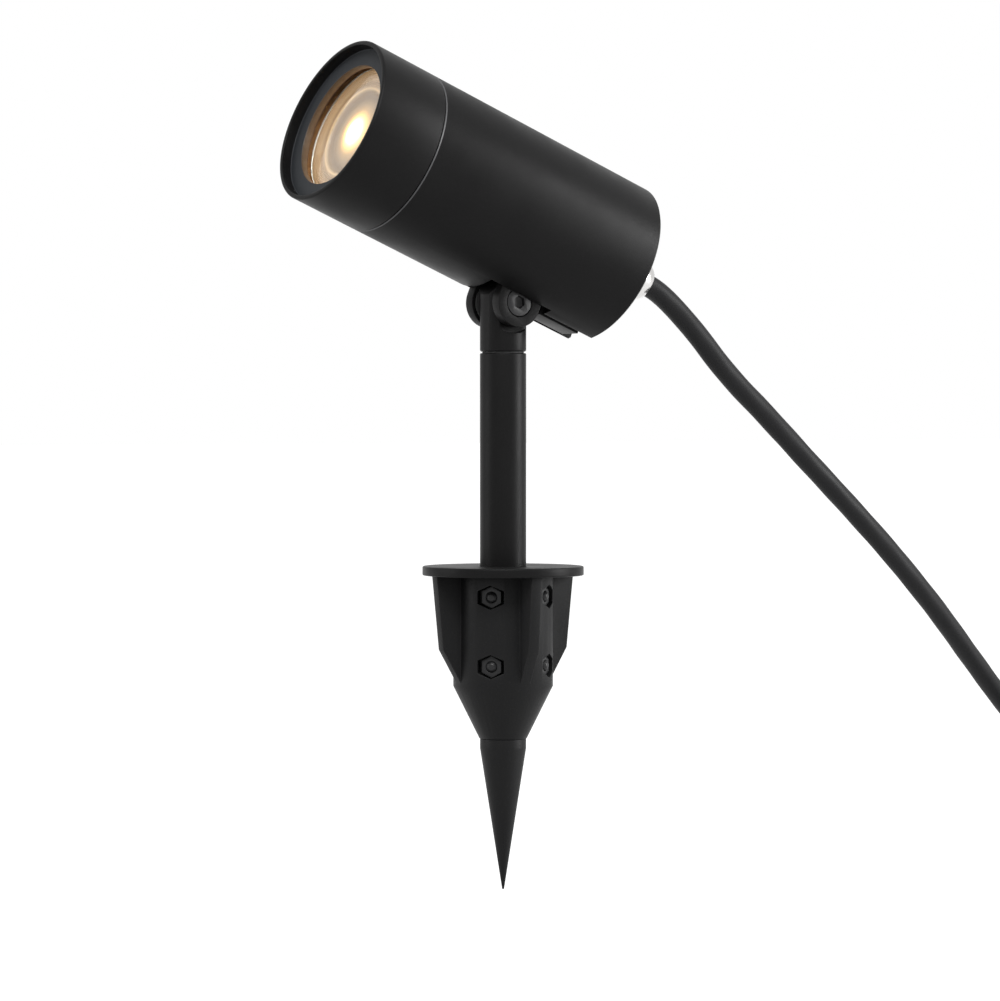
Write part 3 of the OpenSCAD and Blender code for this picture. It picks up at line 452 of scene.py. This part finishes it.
def box(name, size, centre):
    """A block in the shared frame or a piece's own axes; size and centre in millimetres."""
    bm = bmesh.new()
    bmesh.ops.create_cube(bm, size=1.0)
    mesh = mesh_of(name, bm)
    mesh.transform(Matrix.Diagonal((*(length * MM for length in size), 1)))
    return place(name, mesh, Matrix.Translation([along * MM for along in centre]))


def shade(obj, angle=32.0):
    """Smooth faces with sharp edges above an angle."""
    mesh = obj.data
    mesh.polygons.foreach_set("use_smooth", [True] * len(mesh.polygons))
    mesh.set_sharp_from_angle(angle=math.radians(angle))
    mesh.update()
    return obj


def finish_piece(obj, node, material=None):
    """A piece that stands for a CAD node: it rides on the node's body, hides the node and takes the material
    given, if any.
    """
    if material is not None:
        obj.data.materials.clear()
        obj.data.materials.append(_materials[material])
    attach(obj, BODY[node])
    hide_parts(node)
    return obj


def rounded(profile, closed, steps=4):
    """Rounds the corners of a profile of (r, z) or (r, z, radius) points."""
    points = [(Vector(p[:2]), p[2] if len(p) > 2 else 0.0) for p in profile]
    count, out = len(points), []
    for i, (here, radius) in enumerate(points):
        if radius <= 0 or (not closed and i in (0, count - 1)):
            out.append(tuple(here))
            continue
        back = (points[i - 1][0] - here).normalized()
        ahead = (points[(i + 1) % count][0] - here).normalized()
        half = math.acos(max(-1.0, min(1.0, back.dot(ahead)))) / 2
        reach = min(radius / math.tan(half), 0.49 * (points[i - 1][0] - here).length,
                    0.49 * (points[(i + 1) % count][0] - here).length)
        radius = reach * math.tan(half)
        middle = here + (back + ahead).normalized() * (radius / math.sin(half))
        start, end = here + back * reach - middle, here + ahead * reach - middle
        turn = math.atan2(start.x * end.y - start.y * end.x, start.dot(end))
        for k in range(steps + 1):
            angle = turn * k / steps
            out.append((middle.x + start.x * math.cos(angle) - start.y * math.sin(angle),
                        middle.y + start.x * math.sin(angle) + start.y * math.cos(angle)))
    return out


def lathe(name, profile, closed=True, steps=144, matrix=None, paint=None, corner=4):
    """Turns a profile round the z axis. An open profile starts and ends on the axis.

    paint(r, z) gives the material index of the band whose middle is at r and z.
    """
    line = rounded(profile, closed, corner)
    bm = bmesh.new()
    rings = []
    for r, z in line:
        if r < 1e-6:
            rings.append([bm.verts.new((0, 0, z * MM))])
        else:
            rings.append([bm.verts.new((r * MM * math.cos(angle), r * MM * math.sin(angle), z * MM))
                          for angle in (2 * math.pi * k / steps for k in range(steps))])
    last = len(rings) if closed else len(rings) - 1
    for i in range(last):
        a, b = rings[i], rings[(i + 1) % len(rings)]
        index = 0
        if paint:
            (ra, za), (rb, zb) = line[i], line[(i + 1) % len(rings)]
            index = paint((ra + rb) / 2, (za + zb) / 2)
        for k in range(steps):
            j = (k + 1) % steps
            if len(a) == 1 and len(b) == 1:
                continue
            if len(a) == 1:
                face = bm.faces.new((a[0], b[k], b[j]))
            elif len(b) == 1:
                face = bm.faces.new((a[k], b[0], a[j]))
            else:
                face = bm.faces.new((a[k], b[k], b[j], a[j]))
            face.material_index = index
    bmesh.ops.recalc_face_normals(bm, faces=bm.faces)
    return shade(place(name, mesh_of(name, bm), matrix))


def applied(obj):
    """Applies every modifier of an object to its mesh."""
    bpy.context.view_layer.update()
    made = bpy.data.meshes.new_from_object(obj.evaluated_get(bpy.context.evaluated_depsgraph_get()))
    obj.modifiers.clear()
    obj.data = made
    return obj


def refined(name, node, width):
    """A copy of a CAD node with its edges rounded, which stands for the node."""
    mesh = NODES[node].data.copy()
    obj = place(name, mesh)
    bm = bmesh.new()
    bm.from_mesh(mesh)
    bmesh.ops.remove_doubles(bm, verts=bm.verts, dist=2e-6)
    bmesh.ops.dissolve_limit(bm, angle_limit=math.radians(0.6), verts=bm.verts, edges=bm.edges, delimit=set())
    bmesh.ops.recalc_face_normals(bm, faces=bm.faces)
    bm.to_mesh(mesh)
    bm.free()
    if "custom_normal" in mesh.attributes:
        mesh.attributes.remove(mesh.attributes["custom_normal"])
    bevel = obj.modifiers.new("edges", "BEVEL")
    bevel.width = width * MM
    bevel.segments = 3
    bevel.limit_method = "ANGLE"
    bevel.angle_limit = math.radians(32)
    applied(obj)
    shade(obj, 40.0)
    return finish_piece(obj, node, SLOT[node])


# The cord

CORD_D = 8.0
FOLD_IN = 24.6
HANK_X, HANK_Y = 5.0, 313.0
HANK_RUN = 28.0
HANK_LAYERS = 4
CLIMB_SHARE = 1 / 3
FOLD_STEPS = 9
HANK_PITCH = 8.95
HANK_LOW = -105.9
FOLD_OUT = FOLD_IN + HANK_PITCH
FOLD_ARC = math.pi * (FOLD_IN + FOLD_OUT) / 2
HANK_TURN = 4 * HANK_RUN + 2 * FOLD_ARC
CORD_ROUTE = [
    (0, 70, 97.4), (0, 80, 88.5), (0, 96, 71.8), (0, 112, 57.7), (0, 128, 43.4), (0, 142, 31), (0, 156, 18.5),
    (-0.6, 170, 6), (-2.4, 184, -6.5), (-5.2, 198, -19), (-9.2, 212, -31.5), (-13.8, 226, -43.5),
    (-18.6, 240, -55), (-22.6, 254, -65.5), (-26.1, 267, -73.2), (-28, 277, -77.2),
]
# The tail's way to the plug: shares of its length and of its rise and side step
TAIL_SHARES = [(0.22, 0.027), (0.42, 0.29), (0.62, 0.7), (0.82, 0.97), (1, 1)]
PLUG_END = (-12.0, 399.0, -91.9)
GLAND_END = -52.6
CORD_STRAIGHT = 2.0
LINE_STEP = 2.2
CORD_SIDES = 20
# The three cores' twist: how deep it shows in the sheath, and its length
CORE_LAY, CORE_PITCH, CORES = 0.09, 55.0, 3


def head_point(x, y, z):
    """A point of the head's own axes, in millimetres, in the shared frame in metres."""
    return HEAD @ Vector((x * MM, y * MM, z * MM))


def hank_point(turn):
    """Place of the wound cord after a number of turns: four layers from the top down, in and out by turns."""
    cycle = 1 + CLIMB_SHARE
    layer = max(0, min(HANK_LAYERS - 1, math.floor(turn / cycle)))
    part = turn - layer * cycle
    last = layer == HANK_LAYERS - 1
    done = part if last else min(part, 1)
    climb = 0 if last else max(0, part - 1) / CLIMB_SHARE
    r = FOLD_OUT - HANK_PITCH * done if layer % 2 == 0 else FOLD_IN + HANK_PITCH * done
    z = HANK_LOW + HANK_PITCH * (HANK_LAYERS - 1 - layer - climb)
    q = (turn - math.floor(turn)) * HANK_TURN
    if q < HANK_RUN:
        x, y = -r, q
    elif q < HANK_RUN + FOLD_ARC:
        angle = math.pi * (q - HANK_RUN) / FOLD_ARC
        x, y = -r * math.cos(angle), HANK_RUN + r * math.sin(angle)
    elif q < 3 * HANK_RUN + FOLD_ARC:
        x, y = r, 2 * HANK_RUN + FOLD_ARC - q
    elif q < 3 * HANK_RUN + 2 * FOLD_ARC:
        angle = math.pi * (q - 3 * HANK_RUN - FOLD_ARC) / FOLD_ARC
        x, y = r * math.cos(angle), -HANK_RUN - r * math.sin(angle)
    else:
        x, y = -r, q - HANK_TURN
    return (HANK_X + x, HANK_Y + y, z)


def cord_points():
    """The cord's way in millimetres: the free stretch, the hank and the tail to the plug's boot."""
    start = [tuple(head_point(0, 0, z) / MM) for z in (GLAND_END, GLAND_END - CORD_STRAIGHT)]
    folds = [[(first + FOLD_ARC * i / FOLD_STEPS) / HANK_TURN for i in range(1, FOLD_STEPS + 1)]
             for first in (HANK_RUN, 3 * HANK_RUN + FOLD_ARC)]
    stations = ([0, HANK_RUN / HANK_TURN] + folds[0]
                + [(2 * HANK_RUN + FOLD_ARC) / HANK_TURN, (3 * HANK_RUN + FOLD_ARC) / HANK_TURN] + folds[1])
    turns = round(HANK_LAYERS + (HANK_LAYERS - 1) * CLIMB_SHARE)
    lead = HANK_RUN / HANK_TURN
    hank = [hank_point(-lead)] + [hank_point(turn + share) for turn in range(turns) for share in stations]
    hank += [hank_point(turns), hank_point(turns + lead)]
    a, b = hank[-1], PLUG_END
    tail = [tuple(a[k] + (share if k == 1 else rise) * (b[k] - a[k]) for k in range(3))
            for share, rise in TAIL_SHARES]
    return start + [tuple(map(float, p)) for p in CORD_ROUTE] + hank + tail


def smooth_line(points, step):
    """A natural cubic line through the points, sampled at an even step."""
    p = np.array(points, float)
    t = np.concatenate([[0], np.cumsum(np.linalg.norm(np.diff(p, axis=0), axis=1))])
    n, h = len(p), np.diff(t)
    a, b = np.zeros((n, n)), np.zeros((n, 3))
    a[0, 0] = a[-1, -1] = 1
    for i in range(1, n - 1):
        a[i, i - 1], a[i, i], a[i, i + 1] = h[i - 1], 2 * (h[i - 1] + h[i]), h[i]
        b[i] = 6 * ((p[i + 1] - p[i]) / h[i] - (p[i] - p[i - 1]) / h[i - 1])
    m = np.linalg.solve(a, b)
    s = np.linspace(0, t[-1], int(t[-1] / step) + 1)
    k = np.clip(np.searchsorted(t, s) - 1, 0, n - 2)
    u, v, w = (t[k + 1] - s)[:, None], (s - t[k])[:, None], h[k][:, None]
    return (m[k] * u**3 / (6 * w) + m[k + 1] * v**3 / (6 * w)
            + (p[k] / w - m[k] * w / 6) * u + (p[k + 1] / w - m[k + 1] * w / 6) * v)


def sweep(name, line, radius, sides):
    """A closed tube along a line in millimetres, with the cores' twist faintly in its radius."""
    heading = np.gradient(line, axis=0)
    heading /= np.linalg.norm(heading, axis=1)[:, None]
    up = np.cross(heading[0], [1.0, 0, 0])
    up /= np.linalg.norm(up)
    run = np.concatenate([[0], np.cumsum(np.linalg.norm(np.diff(line, axis=0), axis=1))])
    bm, rings = bmesh.new(), []
    for i, here in enumerate(line):
        up = up - heading[i] * up.dot(heading[i])
        up /= np.linalg.norm(up)
        side = np.cross(heading[i], up)
        ring = []
        for k in range(sides):
            angle = 2 * math.pi * k / sides
            twist = CORES * (angle - 2 * math.pi * run[i] / CORE_PITCH)
            r = radius - CORE_LAY * (0.5 - 0.5 * math.cos(twist))
            ring.append(bm.verts.new((here + r * (math.cos(angle) * up + math.sin(angle) * side)) * MM))
        rings.append(ring)
    for a, b in zip(rings, rings[1:]):
        for k in range(sides):
            j = (k + 1) % sides
            bm.faces.new((a[k], a[j], b[j], b[k]))
    bm.faces.new(rings[0][::-1])
    bm.faces.new(rings[-1])
    bmesh.ops.recalc_face_normals(bm, faces=bm.faces)
    return shade(place(name, mesh_of(name, bm)), 60.0)


def make_cord():
    """One cord from the gland to the plug."""
    line = smooth_line(cord_points(), LINE_STEP)
    cord = sweep("supply_lead", line, CORD_D / 2, CORD_SIDES)
    cord.data.materials.append(_materials["cord_rubber"])
    for node in ("supply_cord", "cord_coil", "cord_tail"):
        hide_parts(node)
    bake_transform(cord)
    return cord


# Plug and tie

PLUG_R = 18.5
BOOT_LEN = 30.0
PLUG_FACE = BOOT_LEN + 42.0
BOOT_R, BOOT_FOOT_R = 5.6, 8.14
BOOT_GROOVES = 5
CLIP_SEAT_R, CLIP_SEAT_LEN = 15.9, 18.0
FLUTES = 36
FLUTE_DEPTH = 0.55
PIN_HALF_GAP = 9.5
PIN_R, PIN_LEN = 2.4, 19.0
STRAP_W, STRAP_T, STRAP_GAP = 14.0, 0.85, 0.35
LAP_LEN = 34.0


def make_plug():
    """Round plug with a ribbed boot and a fluted grip."""
    profile = [(0, 0), (BOOT_R, 0, 0.6)]
    for i in range(BOOT_GROOVES):
        a = 4.0 + i * 4.8
        b = a + 1.9
        ra, rb = (BOOT_R + (BOOT_FOOT_R - BOOT_R) * along / BOOT_LEN for along in (a, b))
        profile += [(ra, a, 0.35), (ra - 0.9, a + 0.15, 0.3), (rb - 0.9, b - 0.15, 0.3), (rb, b, 0.35)]
    profile += [(BOOT_FOOT_R, BOOT_LEN, 0.3), (11.84, BOOT_LEN + 0.4, 1.6), (14.2, BOOT_LEN + 6, 5.0),
                (17.6, BOOT_LEN + 14.5, 5.0), (PLUG_R, BOOT_LEN + 19, 2.0), (PLUG_R, BOOT_LEN + 24),
                (PLUG_R, BOOT_LEN + 29), (PLUG_R, BOOT_LEN + 34), (PLUG_R, PLUG_FACE, 1.4),
                (15.2, PLUG_FACE, 0.3), (14.9, PLUG_FACE - 0.6, 0.3), (0, PLUG_FACE - 0.6)]
    plug = lathe("plug_moulding", profile, closed=False, steps=144)
    for vertex in plug.data.vertices:
        x, y, z = vertex.co / MM
        radius, angle = math.hypot(x, y), math.atan2(y, x)
        share = max(0.0, min(1.0, (z - BOOT_LEN - 7) / 5)) * max(0.0, min(1.0, (BOOT_LEN + 37 - z) / 4))
        if radius > 12 and share > 0 and abs(math.sin(angle)) < 0.86:
            dip = FLUTE_DEPTH * share * (0.5 - 0.5 * math.cos(FLUTES * angle)) ** 2
            vertex.co.x *= (radius - dip) / radius
            vertex.co.y *= (radius - dip) / radius
    across, up = CLIP_SEAT_R + 5, PLUG_FACE - CLIP_SEAT_LEN + 10
    cutters = [box("seat", (4.6, 10, 20), (0, side * across, up)) for side in (1, -1)]
    for cutter in cutters:
        cut = plug.modifiers.new("seat", "BOOLEAN")
        cut.operation, cut.object, cut.solver = "DIFFERENCE", cutter, "EXACT"
    applied(plug)
    for cutter in cutters:
        bpy.data.objects.remove(cutter)
    plug.data.transform(PLUG)
    shade(plug, 34.0)
    return finish_piece(plug, "plug_body", "plug_rubber")


def make_pins():
    """The plug's two pins, each on a low foot."""
    pins = []
    for index, side in enumerate((-1, 1)):
        z = PLUG_FACE
        profile = [(0, z - 0.6), (3.3, z - 0.6), (3.3, z, 0.2), (PIN_R, z + 0.1, 0.1),
                   (PIN_R, z + PIN_LEN, 0.9), (0, z + PIN_LEN)]
        pin = lathe("plug_pin_" + "ab"[index], profile, closed=False, steps=48,
                    matrix=PLUG @ Matrix.Translation((side * PIN_HALF_GAP * MM, 0, 0)))
        pins.append(finish_piece(pin, "plug_pins", "nickel"))
    return pins


def make_tie():
    """Strap round the hank's waist, with its end lapped over it."""
    half = FOLD_OUT + CORD_D / 2 + STRAP_GAP
    low, high = HANK_LOW - CORD_D / 2, HANK_LOW + (HANK_LAYERS - 1) * HANK_PITCH + CORD_D / 2 + STRAP_GAP
    sides = (HANK_Y - STRAP_W / 2, HANK_Y + STRAP_W / 2)

    def outline(grow):
        corners = [(HANK_X - half - grow, low - grow), (HANK_X + half + grow, low - grow),
                   (HANK_X + half + grow, high + grow), (HANK_X - half - grow, high + grow)]
        return rounded([(*c, 3.0 + grow) for c in corners], True, 8)

    bm = bmesh.new()
    layers = [outline(0.0), outline(STRAP_T)]
    rings = [[[bm.verts.new((x * MM, y * MM, z * MM)) for x, z in layer] for layer in layers]
             for y in sides]
    count = len(layers[0])
    for k in range(count):
        j = (k + 1) % count
        (ia, oa), (ib, ob) = rings
        for quad in ((oa[k], oa[j], ob[j], ob[k]), (ia[k], ib[k], ib[j], ia[j]),
                     (ia[k], ia[j], oa[j], oa[k]), (ib[k], ob[k], ob[j], ib[j])):
            bm.faces.new(quad)
    bmesh.ops.recalc_face_normals(bm, faces=bm.faces)
    strap = place("cord_strap", mesh_of("cord_strap", bm))
    bevel = strap.modifiers.new("edges", "BEVEL")
    bevel.width, bevel.segments = 0.25 * MM, 2
    bevel.limit_method, bevel.angle_limit = "ANGLE", math.radians(60)
    applied(strap)
    shade(strap, 50.0)
    finish_piece(strap, "coil_tie", "strap_weave")
    end = box("strap_end", (LAP_LEN, STRAP_W - 1, 0.8), (HANK_X + 6, HANK_Y, high + STRAP_T + 0.38))
    bevel = end.modifiers.new("edges", "BEVEL")
    bevel.width, bevel.segments = 0.35 * MM, 3
    applied(end)
    shade(end, 50.0)
    end.data.materials.append(_materials["strap_weave"])
    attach(end, "swivel")
    return [strap, end]


# Head

HEAD_R = 30.0
SEAM_Z = 61.5
SEAM_EDGE = 0.33
HEAD_FRONT = 88.5
RING_FRONT, RING_REAR = 84.5, 82.1
APERTURE_R = 22.3
GLAND_R, GLAND_LIP_R, GLAND_BORE_R, CORD_HOLE_R = 7.9, 4.9, 6.05, 4.1
GLAND_FOOT, DOME_FOOT, SEAL_STEP = -39.4, -45.35, -49.9
RECESS_R = 28.35
GLASS_BORE_R = 27.2
SKIRT_R = 28.0
THREAD_T, THREAD_STEP = 0.45, 1.25
GLASS_REAR, GLASS_FRONT = 77.25, 81.25
LAMP_FRONT = 76.45
LENS_R, LENS_T = 23.6, 2.2
GLASS_R, GASKET_BORE_R = 26.9, 23.2


def make_bezel():
    """Front ring with a rolled lip, a sunk inner ring and the thread inside its skirt."""
    profile = [
        (SKIRT_R, SEAM_Z + 0.4, 0.15), (HEAD_R, SEAM_Z + 0.4, 0.4), (HEAD_R, HEAD_FRONT, 0.75),
        (RECESS_R, HEAD_FRONT, 0.35), (RECESS_R, RING_FRONT, 0.25), (APERTURE_R, RING_FRONT, 0.25),
        (APERTURE_R, RING_REAR, 0.15), (GLASS_BORE_R, RING_REAR), (GLASS_BORE_R, SEAM_Z + 9.3),
        (SKIRT_R, SEAM_Z + 9.3)]
    z = SEAM_Z + 8.4
    while z > SEAM_Z + 2.2:
        profile += [(SKIRT_R, z), (SKIRT_R + THREAD_T, z - THREAD_T), (SKIRT_R, z - 2 * THREAD_T)]
        z -= THREAD_STEP

    def paint(r, z):
        # Band 2 is the opening's wall, which takes the painted lamp glow.
        if r < APERTURE_R + 0.12 and RING_REAR - 0.1 < z < RING_FRONT - 0.05:
            return 2
        if z < RING_FRONT + 0.3 and r < RECESS_R + 0.05 and z > RING_FRONT - 0.4:
            return 1
        return 0

    bezel = lathe("bezel_ring", profile, matrix=HEAD, steps=192, paint=paint, corner=5)
    for name in ("black_coat", "ring_coat", "opening_painted_glow"):
        bezel.data.materials.append(_materials[name])
    return finish_piece(bezel, "front_bezel")


def make_lens():
    """Ringed lens: a raised clear centre, a trough and fine steps on the rim."""
    front = LAMP_FRONT
    rear = front - LENS_T
    profile = [(0, rear), (LENS_R, rear), (LENS_R, front - 0.1, 0.2), (22.6, front - 0.1, 0.2)]
    r = 22.4
    while r > 17.4:
        profile += [(r, front - 0.15), (r - 0.12, front - 0.5), (r - 0.85, front - 0.15)]
        r -= 0.88
    profile += [(16.9, front - 0.25, 0.2), (16.4, front - 0.05, 0.2), (15.8, front - 0.2, 0.2),
                (15.0, front - 0.9, 0.4), (11.5, front - 1.1, 1.0), (8.0, front - 0.55, 2.0),
                (4.5, front - 0.12, 3.0), (0, front - 0.02)]
    lens = lathe("lamp_lens_ringed", profile, closed=False, steps=160, matrix=HEAD)
    return finish_piece(lens, "lamp_lens", "lamp_lens")


def make_glass():
    """Pane with a brown border on its rear face, where the gasket's seat shows through it: painted warm light
    from the lamp.
    """
    profile = [(0, GLASS_REAR), (GASKET_BORE_R, GLASS_REAR), (GLASS_R, GLASS_REAR, 0.3),
               (GLASS_R, GLASS_FRONT, 0.3), (0, GLASS_FRONT)]

    def paint(r, z):
        return 1 if r > GASKET_BORE_R and z < GLASS_REAR + 0.01 else 0

    pane = lathe("glass_pane", profile, closed=False, steps=160, matrix=HEAD, paint=paint)
    for name in ("clear_glass", "glass_rim_painted_warm_light"):
        pane.data.materials.append(_materials[name])
    return finish_piece(pane, "front_glass")


def make_gland():
    """Domed nut of the cord gland, over its hexagon body."""
    profile = [(GLAND_BORE_R, GLAND_FOOT), (GLAND_R, GLAND_FOOT, 0.35), (GLAND_R, DOME_FOOT + 0.05, 0.4)]
    for k in range(1, 9):
        turn = math.radians(90 * k / 8)
        profile.append((GLAND_LIP_R + (GLAND_R - GLAND_LIP_R) * math.cos(turn),
                        DOME_FOOT + (GLAND_END - DOME_FOOT) * math.sin(turn)))
    profile += [(CORD_HOLE_R, GLAND_END, 0.3), (CORD_HOLE_R, SEAL_STEP), (GLAND_BORE_R, SEAL_STEP)]
    nut = lathe("gland_dome", profile, matrix=HEAD, steps=120)
    return finish_piece(nut, "gland_nut", "nickel")


# Stem, flange and spike

STEM_R, STEM_BORE_R = 8.15, 6.4
STEM_FOOT, STEM_TOP = -37.0, 78.25
FLANGE_R, FLANGE_T = 28.45, 3.25
TIP_NECK_R, TIP_NECK_TOP = 6.3, -30.0
TIP_TOP, TIP_SHOULDER = -57.5, -61.0


def make_stem():
    """Stem tube and ground flange."""
    profile = [(STEM_BORE_R, STEM_FOOT, 0.2), (STEM_R, STEM_FOOT, 0.3), (STEM_R, STEM_TOP, 0.45),
               (STEM_BORE_R, STEM_TOP, 0.3)]
    stem = lathe("stem_pipe", profile, steps=120)
    finish_piece(stem, "stem_tube", "black_coat")
    profile = [(STEM_R, 0, 0.1), (FLANGE_R, 0, 0.45), (FLANGE_R, FLANGE_T, 0.55), (STEM_R, FLANGE_T, 0.1)]
    flange = lathe("ground_flange", profile, steps=192)
    finish_piece(flange, "flange_disc", "black_coat")


def make_tip():
    """Spike's point, with the neck that stands inside the collar."""
    profile = [(0, FLOOR_Z), (0.35, FLOOR_Z, 0.12), (STEM_R, TIP_SHOULDER, 0.5), (STEM_R, TIP_TOP, 0.3),
               (TIP_NECK_R, TIP_TOP), (TIP_NECK_R, TIP_NECK_TOP), (0, TIP_NECK_TOP)]
    tip = lathe("spike_tip", profile, closed=False, steps=120)
    finish_piece(tip, "spike_point", "black_plastic")


def lighten_seam(shell):
    """The housing's front edge is painted lighter, a painted highlight which draws the seam behind the bezel.
    """
    shell.data.materials.append(_materials["seam_painted_highlight"])
    to_head = HEAD.inverted()
    for face in shell.data.polygons:
        x, y, z = (to_head @ face.center) / MM
        outer = math.hypot(x, y) > HEAD_R - SEAM_EDGE and SEAM_Z - SEAM_EDGE < z < SEAM_Z + 0.02
        if outer and abs(face.normal.dot(AXIS)) > 0.05:
            face.material_index = 1


# Pieces that are their CAD node with rounded edges: name, node and radius in millimetres
REFINED = (
    ("housing_shell", "lamp_housing", 0.3), ("clevis_yoke", "clevis", 0.45),
    ("knuckle_body", "knuckle", 0.35), ("collar_body", "spike_collar", 0.4),
    ("pivot_bolt", "pivot_screw", 0.3),
    ("pivot_hex_nut", "pivot_nut", 0.3), ("collar_hex_nuts", "collar_nuts", 0.25),
    ("collar_set_screws", "collar_screws", 0.25), ("gland_hexagon", "gland_body", 0.3),
)


# Scene

# The world's strength for camera and mirror rays, and the even light it gives the object
SHOWN_WORLD, AMBIENT = 1.0, 0.42
# The floor's strength for those rays, and its share over the lit floor, which keeps the shadow
SHOWN_FLOOR, SHOWN_SHARE = 1.45, 0.72


def make_floor():
    """Pale floor that keeps the object's soft shadow, and is the white ground to camera and mirror rays."""
    bm = bmesh.new()
    bmesh.ops.create_grid(bm, x_segments=1, y_segments=1, size=14)
    floor = place("floor", mesh_of("floor", bm), Matrix.Translation((0, 0, (FLOOR_Z - 0.4) * MM)))
    g = Graph("floor")
    g.link(g.mix(g.noise(30, 2), (0.66, 0.66, 0.66), (0.70, 0.70, 0.70)), g.shader.inputs["Base Color"])
    g.set(Roughness=0.9, Specular_IOR_Level=0.1)
    bright = g.node("ShaderNodeEmission")
    bright.inputs["Strength"].default_value = SHOWN_FLOOR
    mixed = g.node("ShaderNodeMixShader")
    g.link(g.math("MULTIPLY", background_rays(g), SHOWN_SHARE), mixed.inputs[0])
    g.link(g.shader.outputs["BSDF"], mixed.inputs[1])
    g.link(bright.outputs["Emission"], mixed.inputs[2])
    g.link(mixed.outputs["Shader"], g.out.inputs["Surface"])
    floor.data.materials.append(g.material)


def background_rays(g):
    """One for a camera, mirror or see-through ray."""
    path = g.node("ShaderNodeLightPath")
    rays = g.math("MAXIMUM", path.outputs["Is Camera Ray"], path.outputs["Is Glossy Ray"])
    return g.math("MAXIMUM", rays, path.outputs["Is Transmission Ray"])


class WorldGraph(Graph):
    """The world's node tree, with the same short calls."""

    def __init__(self, world):
        world.use_nodes = True
        self.tree = world.node_tree
        self.tree.nodes.clear()
        self.out = self.node("ShaderNodeOutputWorld")


def make_world():
    """An even ambient light, white to camera and mirror rays."""
    world = bpy.data.worlds.new("world")
    bpy.context.scene.world = world
    g = WorldGraph(world)
    shown, ambient = g.node("ShaderNodeBackground"), g.node("ShaderNodeBackground")
    for background, strength in ((shown, SHOWN_WORLD), (ambient, AMBIENT)):
        background.inputs["Color"].default_value = (1, 1, 1, 1)
        background.inputs["Strength"].default_value = strength
    mixed = g.node("ShaderNodeMixShader")
    g.link(background_rays(g), mixed.inputs[0])
    g.link(ambient.outputs[0], mixed.inputs[1])
    g.link(shown.outputs[0], mixed.inputs[2])
    g.link(mixed.outputs[0], g.out.inputs["Surface"])


def softbox(name, azimuth, elevation, distance, width, height, watts, aim):
    """An area light at an angle round the object, measured from the camera's side."""
    data = bpy.data.lights.new(name, "AREA")
    data.shape, data.size, data.size_y, data.energy = "RECTANGLE", width, height, watts
    light = bpy.data.objects.new(name, data)
    bpy.context.scene.collection.objects.link(light)
    a, e = CAM_AZIMUTH + math.radians(azimuth), math.radians(elevation)
    way = Vector((math.sin(a) * math.cos(e), -math.cos(a) * math.cos(e), math.sin(e)))
    light.location = Vector(aim) + way * distance
    light.rotation_mode = "QUATERNION"
    light.rotation_quaternion = way.to_track_quat("Z", "Y")


def make_lights():
    """A high softbox from the camera's side, a strong one at the right and a weak one at the left."""
    softbox("front_softbox", 0, 47, 1.5, 1.1, 0.5, 30, (0, 0, 0.1))
    softbox("right_softbox", 88, 4, 1.3, 0.35, 1.3, 26, (0, 0, 0.03))
    softbox("left_softbox", -84, 8, 1.4, 0.4, 1.2, 6, (0, 0, 0.03))


def dress_nodes():
    """Every CAD node that stays takes its slot's material."""
    for name, obj in NODES.items():
        obj.data.materials.clear()
        obj.data.materials.append(_materials[SLOT[name]])


make_camera()
make_materials()
dress_nodes()
plug_pieces = [make_plug(), *make_pins(), NODES["plug_earth_clips"], *make_tie()]
make_cord()
make_bezel()
make_lens()
make_glass()
make_gland()
make_stem()
make_tip()
for piece, source, edge in REFINED:
    made = refined(piece, source, edge)
    if source == "lamp_housing":
        lighten_seam(made)
make_floor()
make_world()
make_lights()
bpy.context.scene.view_settings.view_transform = "Standard"
